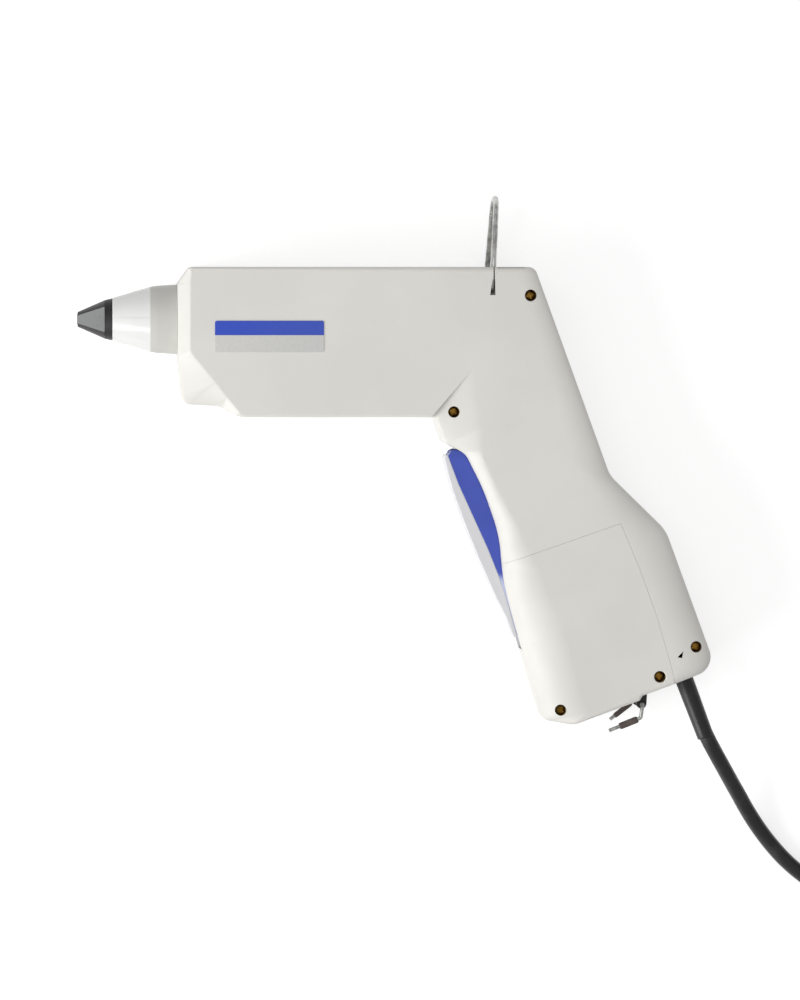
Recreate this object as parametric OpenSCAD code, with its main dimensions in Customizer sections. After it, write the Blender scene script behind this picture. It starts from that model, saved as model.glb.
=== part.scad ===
// Hot-melt glue gun with a four-finger trigger, a wire bail and a mains lead.
// It lies on its right side: X runs from the nozzle to the back, Y from the handle
// to the top of the barrel, and Z from the resting side to the other side.
// The origin is on the resting side, below the axis of the glue stick.

/* [Casing] */
// Width of the casing across its two side faces
casing_w = 44; // [43:0.5:46]
// Wall thickness of the casing
wall = 2.4; // [2:0.1:2.6]
// Depth of the chamfer that frames the front of the barrel
front_chamfer = 5; // [4:0.5:6]
// Depth of the rounding along the front of the lower handle
grip_round = 12; // [9:0.5:13]

/* [Glue path] */
// Diameter of the glue stick
stick_d = 15; // [14.8:0.1:15.2]
// Radius of the nozzle's outlet
outlet_r = 1.25; // [0.8:0.05:1.5]

/* [Trigger] */
// Width of the trigger
trigger_w = 20; // [18:0.5:20]
// Distance from the trigger's pivot to its drive pin
trigger_reach = 64; // [63.5:0.5:64.5]
// Radius of the pivot and drive pins
pin_r = 2; // [1.8:0.1:2]

/* [Wires] */
// Radius of the bail's wire
bail_wire_r = 1.2; // [1:0.1:1.3]
// Radius of the stand's wire
stand_wire_r = 0.8; // [0.7:0.05:0.9]

/* [Lead] */
// Diameter of the mains lead
cord_d = 6.5; // [6:0.1:6.8]
// Radius of the coil at the middle of its turns
coil_r = 37; // [35:1:39]

/* [Hidden] */
$fn = 48;

mid = casing_w / 2;
gap = 0.15;                       // clearance between pieces that lie face to face
inlet_r = stick_d / 2 + 0.5;      // the bore that guides the stick at the back

casing_grey = [0.86, 0.855, 0.83];
blue = [0.25, 0.33, 0.72];
pad_grey = [0.87, 0.87, 0.86];
dark_grey = [0.33, 0.34, 0.34];
steel = [0.72, 0.72, 0.72];
brass = [0.72, 0.58, 0.3];
black = [0.06, 0.06, 0.065];

// ---- Shared shapes ----

// Points of one rounded corner: p between a and b, radius r, n segments.
function corner(a, p, b, r, n) =
    let (u = (a - p) / norm(a - p), v = (b - p) / norm(b - p),
         half = acos(max(-1, min(1, u * v))) / 2,
         t = min(r / tan(half), 0.49 * min(norm(a - p), norm(b - p))),
         rr = t * tan(half),
         w = (u + v) / norm(u + v),
         c = p + w * rr / sin(half),
         s = p + u * t - c, e = p + v * t - c)
    [for (i = [0 : n])
        let (q = s * (n - i) + e * i)
        c + q / norm(q) * rr];

// A closed outline with a rounded corner at each vertex [x, y, r].
function rounded(v, n = 6) =
    [for (i = [0 : len(v) - 1])
        let (m = len(v), a = v[(i + m - 1) % m], p = v[i], b = v[(i + 1) % m])
        each corner([a.x, a.y], [p.x, p.y], [b.x, b.y], max(p[2], 0.05), n)];

// The same vertices moved inwards by d, for a wall of even thickness.
function inset(v, d) =
    [for (i = [0 : len(v) - 1])
        let (m = len(v), a = v[(i + m - 1) % m], p = v[i], b = v[(i + 1) % m],
             e = [p.x - a.x, p.y - a.y], f = [b.x - p.x, b.y - p.y],
             ne = [-e.y, e.x] / norm(e), nf = [-f.y, f.x] / norm(f),
             w = ne + nf, k = 2 * d / (w * w))
        [p.x + w.x * k, p.y + w.y * k, max(p[2] - d, 0.4)]];

// Twice the area of the triangle a, b, c, positive where it turns left.
function turn(a, b, c) = (b.x - a.x) * (c.y - a.y) - (b.y - a.y) * (c.x - a.x);

// True where no other corner of the outline lies in the triangle of three of them.
function clear_ear(p, left, a, b, c) =
    turn(p[a], p[b], p[c]) > 1e-6
    && len([for (i = left)
        if (i != a && i != b && i != c && turn(p[a], p[b], p[i]) > -1e-9
            && turn(p[b], p[c], p[i]) > -1e-9 && turn(p[c], p[a], p[i]) > -1e-9) i]) == 0;

// The place in left of the first corner from k on that can be cut off.
function ear(p, left, k = 0) =
    let (n = len(left))
    clear_ear(p, left, left[(k + n - 1) % n], left[k], left[(k + 1) % n]) || k == n - 1 ? k
        : ear(p, left, k + 1);

// Triangles that fill an outline of any shape, cut off one by one.
function fill_outline(p, left) =
    let (n = len(left), k = ear(p, left))
    n == 3 ? [left] : concat([[left[(k + n - 1) % n], left[k], left[(k + 1) % n]]],
        fill_outline(p, [for (i = [0 : n - 1]) if (i != k) left[i]]));

function flipped(faces) = [for (f = faces) [f[2], f[1], f[0]]];
function shifted(faces, d) = [for (f = faces) [for (i = f) i + d]];

// The sides that join rings of n points.
function ring_sides(n, rings) =
    [for (k = [0 : rings - 2], i = [0 : n - 1], h = [0, 1])
        let (a = k * n + i, b = k * n + (i + 1) % n)
        h == 0 ? [a, a + n, b] : [b, a + n, b + n]];

// The same with flat round caps at both ends.
function ring_faces(n, rings) = concat([[for (i = [0 : n - 1]) i]], ring_sides(n, rings),
    [[for (i = [n - 1 : -1 : 0]) (rings - 1) * n + i]]);

// A round tube of radius r along a path, with parallel-carried rings.
function unit(v) = v / norm(v);
function heading(p, i) = unit(p[min(i + 1, len(p) - 1)] - p[max(i - 1, 0)]);
function carry(p, i = 0, u = [0, 0, 1]) =
    let (t = heading(p, i), v = unit(u - t * (u * t)))
    i == len(p) - 1 ? [v] : concat([v], carry(p, i + 1, v));
module tube(p, r, sides = 8, up = [0, 0, 1]) {
    ups = carry(p, 0, up);
    points = [for (i = [0 : len(p) - 1], k = [0 : sides - 1])
        let (a = 360 * k / sides, w = cross(heading(p, i), ups[i]))
        p[i] + r * (cos(a) * ups[i] + sin(a) * w)];
    polyhedron(points, ring_faces(sides, len(p)));
}

// A smooth curve through hand-placed points, n steps to a span.
function spline(p, n) = concat(
    [for (i = [0 : len(p) - 2], k = [0 : n - 1])
        let (t = k / n, a = p[max(i - 1, 0)], b = p[i], c = p[i + 1],
             d = p[min(i + 2, len(p) - 1)])
        0.5 * (2 * b + (c - a) * t + (2 * a - 5 * b + 4 * c - d) * t * t
            + (3 * b - a - 3 * c + d) * t * t * t)],
    [p[len(p) - 1]]);

// A cylinder along +X from x0 to x1, with its axis at [y, z].
module rod_x(x0, x1, r, y = 0, z = mid) {
    translate([x0, y, z]) rotate([0, 90, 0]) cylinder(h = x1 - x0, r = r);
}

// A cone along +X from radius r0 at x0 to r1 at x1.
module cone_x(x0, x1, r0, r1, y = 0, z = mid) {
    translate([x0, y, z]) rotate([0, 90, 0]) cylinder(h = x1 - x0, r1 = r0, r2 = r1);
}

// A straight rod of radius r between two points.
module rod(a, b, r) {
    d = b - a;
    translate(a) rotate([0, acos(d.z / norm(d)), atan2(d.y, d.x)]) cylinder(h = norm(d), r = r);
}

// A block from its low corner to its high corner.
module block(lo, hi) {
    translate(lo) cube(hi - lo);
}

// An outline in X and Y, extruded from z0 to z1.
module plate(points, z0, z1) {
    translate([0, 0, z0]) linear_extrude(z1 - z0) polygon(points);
}

// A cylinder along +Z at [x, y].
module post(at, z0, z1, r) {
    translate([at.x, at.y, z0]) cylinder(h = z1 - z0, r = r);
}

// ---- Casing form ----

// Each corner of the casing: [x, y, radius] of its widest outline, [x, y, radius] of
// the flat side face inside it, the depth between the two, and how round that step is
// (0 a flat chamfer, 1 a quarter ellipse).
casing_corners = [
    [-71.5, 22, 2, -70.5, 21, 1, 1.2, 1],
    [-76.5, 15, 2, -71.5, 14.5, 2, front_chamfer, 0],
    [-76.5, -16, 3, -71.5, -13.5, 3, front_chamfer, 0],
    [-74.4, -35.4, 3.5, -61, -26.2, 3, front_chamfer, 0],
    [-59.5, -36.2, 5, -56, -32.4, 3, front_chamfer, 0.2],
    [-50.8, -40.9, 4, -49.5, -39.6, 1, 1.5, 1],
    [29.3, -41, 0.2, 30.6, -39.6, 0.3, 1.5, 1],
    [29.6, -41.02, 0.2, 47.4, -20.2, 0.6, 3.6, 0.6],
    [31.6, -41.05, 1, 47.8, -20.9, 0.6, 3.5, 0.6],
    [35.2, -51.5, 3, 50.8, -45, 8, 4, 0.6],
    [44.5, -56.5, 3, 51.2, -57.5, 8, 5, 0.6],
    [52, -71.5, 20, 57.6, -70.8, 16, 6, 1],
    [58.5, -90, 25, 67.5, -89, 25, 8, 1],
    [60.5, -111, 30, 76.5, -108, 30, 11, 1],
    [67.6, -137, 60, 87, -135, 40, grip_round, 1],
    [77.4, -168.9, 4, 95, -163, 5, grip_round - 1, 1],
    [90, -170.1, 6, 97.5, -166, 3, 2, 1],
    [117.3, -160, 0.8, 116.5, -158, 1, 1.5, 1],
    [118.5, -158, 1, 118.5, -156, 1, 1.5, 1],
    [132, -153.1, 2, 131, -151.4, 2, 1.5, 1],
    [149.8, -146.8, 8, 134.5, -144.5, 6, 5, 1],
    [128.4, -88.5, 18, 112, -92, 16, 4.5, 1],
    [104.8, -65.5, 14, 90, -61, 14, 3.6, 1],
    [72.9, 22, 4, 66.5, 19.5, 2, 1.8, 1]];

arc_steps = 5;
wide_corners = [for (c = casing_corners) [c[0], c[1], c[2]]];
wide = rounded(wide_corners, arc_steps);
face = rounded([for (c = casing_corners) [c[3], c[4], c[5]]], arc_steps);
wide_in = rounded(inset(wide_corners, wall), arc_steps);
face_in = [for (i = [0 : len(wide) - 1])
    let (v = face[i] - wide[i])
    norm(v) > 1.8 * wall ? face[i] : wide_in[i] + 0.1 * v];

function mix(a, b, t) = a + (b - a) * t;

// One ring of the side's edge: t is 0 on the widest outline and 1 on the side face.
function edge_ring(outer, inner, t, top, thin) =
    [for (i = [0 : len(outer) - 1])
        let (c = casing_corners[floor(i / (arc_steps + 1))],
             s = mix(t, 1 - cos(90 * t), c[7]), h = mix(t, sin(90 * t), c[7]),
             span = max(thin, norm(face[i] - wide[i]), 0.1),
             d = max(0.3, c[6] * (1 - thin / span)), p = mix(outer[i], inner[i], s))
        [p.x, p.y, top - d * (1 - h)]];

// Half of a solid with the casing's form, from z0 up to its side face at top.
module casing_half(outer, inner, z0, top, thin, levels) {
    rings = concat([[for (p = outer) [p.x, p.y, z0]]],
        [for (k = [0 : levels]) edge_ring(outer, inner, k / levels, top, thin)]);
    n = len(outer);
    all = [for (i = [0 : n - 1]) i];
    polyhedron([for (r = rings) each r], concat(fill_outline(outer, all), ring_sides(n, len(rings)),
        shifted(flipped(fill_outline(inner, all)), n * (len(rings) - 1))));
}
module casing_outside() casing_half(wide, face, mid, casing_w, 0, 5);
module casing_inside() casing_half(wide_in, face_in, mid - 1, casing_w - wall, wall, 3);

// ---- Places on the casing ----

// Screws and pins: [x, y, height of the boss's end below the side face].
casing_screw_at = [[71.2, 10.1, 1.5], [39, -38.7, 2.7], [141, -137.5, 3.5]];
cover_screw_at = [[84, -164, 5.2], [125.7, -150, 2]];
bail_at = [55.2, 12.4];
bail_leg_z = 3.4;                  // height of the lower leg's axis, the same below the top
trigger_at = [71.4, -130.4];
rocker_at = [52.1, -43.5];
// The same for the pins' bosses, with the depth at which each boss starts.
trigger_boss_at = [trigger_at.x, trigger_at.y, 8.6, 11.4];
rocker_boss_at = [rocker_at.x, rocker_at.y, 1.5, 7.6];
stand_at = [118.9, -162];
cord_exit = [138.2, -152.9, mid];
cord_tilt = 20.7;                  // lean of the lead's exit from straight down
boot_r = 3.95;
screw_r = 1.5;
head_r = 2.15;
head_h = 1.8;
well_r = 2.4;
well_depth = 5.5;

cover_seam = [[40, -109.6], [71, -98.7], [109, -85.5], [117.2, -104.8], [124.3, -124.5],
    [129.8, -143.4], [132.5, -154], [128, -185], [40, -185]];

// Everything that the trigger sweeps through in the casing's front wall.
trigger_gap = [[25, -53.2], [37.5, -52.8], [44, -46.5], [58, -45.5], [80, -110], [80, -135],
    [71.5, -139.2], [60, -139.2], [30, -80]];

module mirrored() translate([0, 0, casing_w]) mirror([0, 0, 1]) children();

// Bosses for the screws and pins, on one half of the casing.
module bosses(screws, pins) {
    for (p = screws) post(p, mid + gap, casing_w - p.z, 4.2);
    for (p = pins) post(p, casing_w - p[3], casing_w - p.z, 3.6);
}

// Depth below the side face at which a pin's hole ends.
function pin_end(p) = max(p.z + 0.6, wall + 0.5);
module pin_hole(p) post(p, casing_w - p[3] - 1, casing_w - pin_end(p), pin_r);

// A pin that runs from one half's boss to the other's.
module casing_pin(p) {
    end = pin_end(p) + 0.1;
    post(p, end, casing_w - end, pin_r);
}

// The wall beside the step that frames the flat above the trigger, in the upper half.
module step_wall() {
    plate([[29.3, -40.8], [33.5, -36.1], [31.7, -34.5], [27.5, -39.2]], 37.4, casing_w - 1.6);
    plate([[33, -36.6], [47.1, -20.6], [45.3, -19], [31.2, -35]], 38, casing_w - 1.6);
}

// The slot in one side of the casing's top in which a leg of the bail folds back.
module bail_slot() {
    z = casing_w - bail_leg_z;
    block([52.6, 7.4, z - 2.5], [69, 24, z + 1.5]);
    block([57.4, 21.4, z], [68.8, 24, casing_w + 1]);
    plate([[54.1, 10.2], [56.4, 10.2], [56.2, 16.8], [55.1, 16.8]], z, casing_w + 1);
    block([55.5, 16, z], [56.1, 24, casing_w + 1]);
}

// The pocket that carries the bail's slot, closed inwards.
module bail_pocket() {
    z = casing_w - bail_leg_z;
    block([50.6, 5.4, z - 4.5], [70.4, 20.5, casing_w - 1.3]);
}

// What both halves of the casing share, as the upper half, without its screws' holes.
// The children are the bosses in its hollow.
module half_shell() {
    difference() {
        union() {
            difference() {
                casing_outside();
                casing_inside();
            }
            children();
            bail_pocket();
            step_wall();
        }
        plate(trigger_gap, mid - 1, mid + trigger_w / 2 + 0.6);
        bail_slot();
        post(bail_at, casing_w - 10, casing_w - 4, bail_wire_r + 0.05);
        rod_x(-90, -70, 13);
        rod_x(70, 100, 10.3);
        lead_hole();
    }
}

// The way of the lead through the casing's end.
module lead_hole() {
    translate(cord_exit) rotate([90, 0, cord_tilt]) translate([0, 0, -8])
        cylinder(h = 16, r = boot_r + gap);
}

// A screw's well and clearance hole through the upper half.
module screw_hole(p) {
    post(p, casing_w - well_depth - head_h, casing_w + 1, well_r);
    post(p, mid - 1, casing_w, screw_r + 0.15);
}

module left_shell() {
    color(casing_grey) difference() {
        half_shell() bosses(casing_screw_at, [trigger_boss_at, rocker_boss_at]);
        for (p = casing_screw_at) screw_hole(p);
        for (p = [trigger_boss_at, rocker_boss_at]) pin_hole(p);
        plate(cover_seam, mid - 1, casing_w + 1);
        translate([0, 0, -1]) linear_extrude(casing_w + 2)
            polygon([[133, -141.8], [135, -142.2], [135.6, -139.2]]);
    }
}

module handle_cover() {
    color(casing_grey) intersection() {
        difference() {
            half_shell() bosses(cover_screw_at, [trigger_boss_at]);
            for (p = cover_screw_at) screw_hole(p);
            pin_hole(trigger_boss_at);
        }
        translate([0, 0, mid]) linear_extrude(casing_w) offset(delta = -gap) polygon(cover_seam);
    }
}

module right_shell() {
    all_screws = concat(casing_screw_at, cover_screw_at);
    color(casing_grey) mirrored() difference() {
        half_shell() {
            bosses(all_screws, [trigger_boss_at, rocker_boss_at]);
            clamp_saddle();
        }
        for (p = all_screws) post(p, mid - 1, casing_w - 5, screw_r + 0.05);
        for (p = clamp_screw_at) post(p, mid - 3, mid + 4, screw_r + 0.05);
        for (p = [trigger_boss_at, rocker_boss_at]) pin_hole(p);
    }
}

// The posts and the bar under the lead's clamp, as if in the upper half.
module clamp_saddle() {
    foot = casing_w - 1.5;
    for (p = clamp_screw_at) post(p, mid - 2.8 + gap, foot, clamp_post_r);
    translate([clamp_middle.x, clamp_middle.y, mid + cord_d / 2 + gap]) rotate(cord_tilt)
        translate([-clamp_reach, -clamp_post_r, 0])
            cube([2 * clamp_reach, 2 * clamp_post_r, foot - mid - cord_d / 2 - gap]);
}

// ---- Fasteners and label ----

// A pan-head screw with a cross recess, its head's seat at [x, y, z].
module screw(p, seat, length) {
    difference() {
        union() {
            post(p, seat, seat + head_h, head_r);
            post(p, seat - length, seat, screw_r);
        }
        for (a = [0, 90]) translate([p.x, p.y, seat + head_h]) rotate(a)
            cube([3.2, 0.7, 1.6], center = true);
    }
}
screw_seat = casing_w - well_depth - head_h;
screw_length = 28;
module casing_screws() color(brass) for (p = casing_screw_at) screw(p, screw_seat, screw_length);
module cover_screws() color(brass) for (p = cover_screw_at) screw(p, screw_seat, screw_length);

module label_plate() {
    color(blue) block([-61, -6.5, casing_w], [-15.5, -0.5, casing_w + 0.3]);
    color("lightgrey") block([-61, -13.6, casing_w], [-15.5, -6.5, casing_w + 0.3]);
}

// ---- Nozzle and melt chamber ----

tip_x = -118.5;
ring_x = -107;                    // where the sleeve's cone starts
shroud_x = -103.7;                // front edge of the shroud
seat_x = -99;                     // the valve's seat
flat_tilt = 17;                   // lean of the sleeve's flats towards the tip
ball_r = 2.6;
valve_r = 3.2;
ball_lift = 1.2;
chamber_r = 12.5;
throat_r = 8.6;
inlet_x = -12;                    // back end of the melt chamber
heater_at = [[-18, mid - 5.5], [-18, mid + 5.5]];

module nozzle_shroud() {
    color([0.9, 0.9, 0.89]) difference() {
        union() {
            cone_x(shroud_x, -95, 9, 11.7);
            cone_x(-95, -87.8, 11.7, 13.7);
            cone_x(-87.8, -85, 13.7, 14.15);
            cone_x(-85, -76.6, 14.15, 14.7);
            rod_x(-77, -72.4, 12.8);
            rod_x(-73.8, -72.4, 15);
        }
        rod_x(-87, -70, 11.2);
        cone_x(shroud_x - 0.1, -87, 7.6, 11.2);
    }
}

// The sleeve before its flats are cut, with the seams of its round faces at the sides.
module sleeve_form() {
    translate([0, 0, mid]) rotate([90, 0, 0]) translate([0, 0, -mid]) difference() {
        union() {
            cone_x(tip_x + 0.15, ring_x, 3.1, 8.1);
            rod_x(ring_x, -99.5, 6.9);
        }
        rod_x(ring_x - 1, -99, 5.05);
        cone_x(-116.6, ring_x - 0.9, 2.2, 5.1);
        rod_x(tip_x, -115, 2.25);
    }
}

// The sleeve with its two flats, which narrow towards the tip.
module nozzle_sleeve() {
    back = ring_x + 0.1;
    front = tip_x - 2;
    low = 6.1 - (ring_x - front) * tan(flat_tilt);
    color(dark_grey) difference() {
        sleeve_form();
        for (s = [-1, 1]) translate([0, 12, mid]) rotate([90, 0, 0]) linear_extrude(24)
            polygon([[back, s * 6.13], [back, s * 12], [front, s * 12], [front, s * low]]);
    }
}

module nozzle_ring() {
    color(black) difference() {
        cone_x(ring_x + gap, shroud_x - gap, 8.1, 8.85);
        rod_x(ring_x - 1, shroud_x + 1, 6.95);
    }
}

module nozzle() {
    color(brass) difference() {
        union() {
            rod_x(-106.5, seat_x + 2, 5);
            cone_x(-116.4, -106.5, 2.1, 5);
            rod_x(tip_x, -116, 2.1);
        }
        rod_x(tip_x - 1, -108, outlet_r);
        rod_x(-108.5, seat_x + 0.6, valve_r);
        rod_x(seat_x, seat_x + 3, 4.02);
    }
}

module valve_ball() color(steel) translate([seat_x - ball_r - 0.05, 0, mid]) sphere(r = ball_r);

// A coil spring along +X.
module spring_x(x0, x1, r, wire, turns, y, z) {
    steps = 12;
    tube([for (i = [0 : turns * steps])
        let (a = 360 * i / steps)
        [mix(x0 + wire, x1 - wire, i / (turns * steps)), y + r * cos(a), z + r * sin(a)]],
        wire, 6, [0, 1, 0]);
}
module valve_spring() {
    color(steel) spring_x(-108, seat_x - 2 * ball_r - ball_lift - 0.3, 2.3, 0.25, 3, 0, mid);
}

module melt_chamber() {
    color([0.7, 0.7, 0.69]) difference() {
        union() {
            rod_x(-71, inlet_x, chamber_r);
            rod_x(-90, -71, 10.2);
            cone_x(-95, -90, 7, 10.2);
            rod_x(seat_x + 0.7, -94, 4);
            block([-72, -24.5, mid - 11.5], [-22, -6, mid + 11.5]);
            block([-52, 8, mid - 7], [-38, 13.2, mid + 7]);
            for (x = [-72, -34]) rod_x(x, x + 2.5, 14);
        }
        rod_x(-84, inlet_x + 1, throat_r);
        cone_x(-92, -84, 2.2, throat_r);
        rod_x(seat_x, -91, 1.9);
        for (p = heater_at) rod_x(-71, -21, 3.3, p.x, p.y);
    }
}

module heater_cartridges() {
    color(steel) for (p = heater_at) {
        rod_x(-70.5, -18, 3.15, p.x, p.y);
        rod_x(-18, -14, 2.2, p.x, p.y);
    }
}

module thermostat() {
    color(dark_grey) {
        translate([-45, 13.2, mid]) rotate([-90, 0, 0]) cylinder(h = 4.6, r = 6);
        for (s = [-1, 1]) block([-46.5, 14.2, mid + s * 8.4 - 2.6], [-43.5, 15, mid + s * 8.4 + 2.6]);
    }
}

// Insulating plates that hold the chamber in the casing.
module chamber_supports() {
    color([0.8, 0.76, 0.66]) for (p = [[-56, -32.6], [-30, -38]]) let (x = p.x) difference() {
        block([x, p.y, 2.9], [x + 3.5, 19, casing_w - 2.9]);
        rod_x(x - 1, x + 5, chamber_r + 0.05);
        block([x - 1, -24.6, mid - 11.6], [x + 5, -5, mid + 11.6]);
        for (s = [-1, 1]) rod_x(x - 1, x + 5, 3, -31, mid + s * 12);
    }
}

module inlet_collar() {
    color([0.75, 0.3, 0.2]) difference() {
        union() {
            rod_x(inlet_x + 0.1, 3.8, 12);
            rod_x(-3, -1, 13.5);
        }
        rod_x(inlet_x - 1, 5, 8.1);
    }
}

// ---- Stick feed ----

rod_at = [[-13, mid - 6.5], [-13, mid + 6.5]];
rod_radius = 2;
carriage_x = 61.7;                // middle of the carriage at rest
carriage_half = 8;
lever_z = trigger_w / 2 + 1.2;    // from the middle to the inside of the rocker's arms

module front_guide() {
    color(dark_grey) difference() {
        union() {
            block([4, -38, 2.9], [8, 19, casing_w - 2.9]);
            rod_x(2, 4, 14.5);
        }
        rod_x(1, 9, 8.5);
        rod_x(1, 3.9, 12.1);
        for (p = rod_at) rod_x(5, 9, rod_radius, p.x, p.y);
        block([3, -36, 6], [9, -20, casing_w - 6]);
    }
}

module guide_rods() color(steel) for (p = rod_at) rod_x(5, 76.5, rod_radius, p.x, p.y);

module rear_bushing() {
    color(dark_grey) difference() {
        union() {
            block([72.6, -17, 8], [74.8, casing_screw_at[0].y - 4.7, casing_w - 8]);
            rod_x(73.6, 77, 10);
            for (p = rod_at) rod_x(74, 77.5, 3.4, p.x, p.y);
        }
        rod_x(72, 78, inlet_r);
        for (p = rod_at) rod_x(72, 76.5, rod_radius, p.x, p.y);
    }
}

module carriage() {
    x0 = carriage_x - carriage_half;
    x1 = carriage_x + carriage_half;
    color([0.2, 0.2, 0.22]) difference() {
        union() {
            block([x0, -17, mid - 10], [x1, 9.8, mid + 10]);
            for (z = [mid - lever_z - 3.2, mid + 9]) post([carriage_x, 0], z, z + lever_z - 5.8, pin_r);
            for (s = [-1, 1]) block([x0 + 1, 9, mid + s * 4 - 1.2], [x0 + 9, 15.5, mid + s * 4 + 1.2]);
        }
        rod_x(x0 - 1, x1 + 1, 8.2);
        for (p = rod_at) rod_x(x0 - 1, x1 + 1, rod_radius + 0.05, p.x, p.y);
        block([x0 - 1, 5, mid - 2.6], [x1 - 2, 12, mid + 2.6]);
        post([x0 + 5, 12.5], mid - 8, mid + 8, 1.2);
        block([casing_screw_at[0].x - 4.6, casing_screw_at[0].y - 4.7, 0], [x1 + 1, 12, casing_w]);
    }
}

pawl_at = [carriage_x - carriage_half + 5, 12.5];
module pawl_pin() color(steel) post(pawl_at, mid - 5.2, mid + 5.2, 1.2);

// The sprung pawl whose tooth bites the stick on the way forward.
module grip_pawl() {
    x = pawl_at.x;
    color(steel) difference() {
        union() {
            plate([[x - 4.6, 8.4], [x - 2, 9.5], [x + 2, 10.5], [x + 8.5, 13.4], [x + 8.5, 15],
                [x, 15], [x - 3.4, 13]], mid - 2.3, mid + 2.3);
            post(pawl_at, mid - 2.3, mid + 2.3, 2.5);
        }
        post(pawl_at, mid - 3, mid + 3, 1.25);
    }
}

// ---- Rocker and trigger ----

drive_tilt = 17.5;                // lean of the trigger at rest, from pivot to drive pin
drive_at = trigger_at + trigger_reach * [-sin(drive_tilt), cos(drive_tilt)];
rocker_tilt = 12.5;               // lean of the rocker's upper arms at rest

// An arm of even width from a along a lean, in X and Y, with a long slot for a pin.
module arm(at, lean, length, width, z0, z1, slot_from, slot_to) {
    translate([at.x, at.y, z0]) rotate(lean) difference() {
        union() {
            translate([0, -width / 2, 0]) cube([length, width, z1 - z0]);
            translate([length, 0, 0]) cylinder(h = z1 - z0, r = width / 2);
        }
        hull() for (d = [slot_from, slot_to])
            translate([d, 0, -1]) cylinder(h = z1 - z0 + 2, r = pin_r + 0.3, $fn = 32);
    }
}

module feed_rocker() {
    color(steel) difference() {
        union() {
            for (z = [mid - lever_z - 2.2, mid + lever_z])
                arm(rocker_at, 90 - rocker_tilt, 46.5, 9, z, z + 2.2, 42, 45.8);
            arm(rocker_at, -90, 27, 7.4, mid - 3, mid + 3, 24.4, 27);
            post(rocker_at, mid - lever_z - 2.2, mid + lever_z + 2.2, 5);
        }
        post(rocker_at, 0, casing_w, pin_r + 0.05);
    }
}

module rocker_pin() color(steel) casing_pin(rocker_boss_at);
module trigger_pin() color(steel) casing_pin(trigger_boss_at);
module drive_pin_form() post(drive_at, mid - trigger_w / 2 + 1.2, mid + trigger_w / 2 - 1.2, pin_r);
module drive_pin() color(steel) drive_pin_form();

// The front of the blue lever, from top to bottom.
lever_front = [[37.2, -57.4], [41.6, -69.1], [47.9, -83], [54.2, -96.8], [59.2, -109.4],
    [63, -121], [66.5, -133.5]];
lever_outline = concat([[42.6, -55.3], [40.2, -54.6], [38.4, -55.4]], lever_front,
    [[70, -138], [75.5, -134], [77, -128.5], [73, -119], [67.5, -104], [62, -86],
    [57, -72], [54, -64], [48.5, -57]]);
lever_hollow = [[43, -50], [41.6, -58.5], [44.6, -68.5], [50.7, -82], [57, -96], [62, -108],
    [64.5, -117], [90, -117], [70, -50]];

// The notch at the top of the trigger that the rocker's lower arm swings into.
module arm_notch() {
    plate([[33, -49.6], [43.4, -64.4], [60, -64.4], [60, -45]], mid - 3.5, mid + 3.5);
}

module trigger_lever() {
    color(blue) difference() {
        plate(lever_outline, mid - trigger_w / 2, mid + trigger_w / 2);
        plate(lever_hollow, mid - trigger_w / 2 + 3, mid + trigger_w / 2 - 3);
        drive_pin_form();
        post(trigger_at, 0, casing_w, pin_r + 0.05);
        block([67.2, -135.6, mid - 6.2], [90, -116, mid + 6.2]);
        arm_notch();
    }
}

// The pale pad that the fingers pull on.
pad_front = [[35.7, -58.5], [37, -64], [39.1, -71.6], [44.6, -86.7], [50.8, -102],
    [57.5, -117], [61.3, -124.5], [65, -134]];
module trigger_face() {
    outline = concat([[36.2, -56.8]], pad_front,
        [for (i = [len(lever_front) - 1 : -1 : 0]) lever_front[i]]);
    color(pad_grey) plate(outline, mid - trigger_w / 2, mid + trigger_w / 2);
}

// The trigger's torsion spring, coiled round its pin between the lever's ears.
module return_spring() {
    steps = 12;
    turns = 5;
    coil = [for (i = [0 : turns * steps])
        let (a = 360 * i / steps)
        [trigger_at.x + 3.4 * cos(a), trigger_at.y + 3.4 * sin(a), mid - 4.5 + 9 * i / (turns * steps)]];
    color(steel) {
        tube(coil, 0.7, 6, [1, 0, 0]);
        rod([74.8, -130.4, mid - 4.5], [86, -118, mid - 4.5], 0.7, $fn = 16);
        rod([74.8, -130.4, mid + 4.5], [70.5, -118.5, mid + 4.5], 0.7, $fn = 16);
    }
}

// ---- Wires that fold out ----

// A bent wire of radius r through corners [x, y, z], each bend with its own radius.
module wire(p, bends, r, sides = 10) {
    path = concat([p[0]],
        [for (i = [1 : len(p) - 2]) each corner(p[i - 1], p[i], p[i + 1], bends[i - 1], 5)],
        [p[len(p) - 1]]);
    tube(path, r, sides, [1, 0.1, 0]);
}

module bail() {
    low = bail_leg_z;
    high = casing_w - bail_leg_z;
    color(steel) wire([[bail_at.x, bail_at.y, high - 4.2], [bail_at.x, bail_at.y, high],
        [55.8, 24, high], [57.4, 48.4, high - 9], [57.7, 51.6, mid], [57.4, 48.4, low + 9],
        [55.8, 24, low], [bail_at.x, bail_at.y, low], [bail_at.x, bail_at.y, low + 4.2]],
        [1.8, 12, 6, 12, 6, 12, 1.8], bail_wire_r);
}

stand_tip = [107.9, -170.6];
stand_low = 6;                    // height of the stand's lower leg
stand_knee = stand_at + [-0.8, -5.7];
stand_end = stand_tip + [-3.2, -2.4];
module stand_wire() {
    high = casing_w - stand_low;
    color(steel) wire([[stand_tip.x, stand_tip.y, stand_low], [stand_at.x, stand_at.y, stand_low],
        [stand_at.x, stand_at.y, high], [stand_knee.x, stand_knee.y, high],
        [stand_end.x, stand_end.y, high]], [2, 2, 1.2], stand_wire_r);
}

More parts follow.
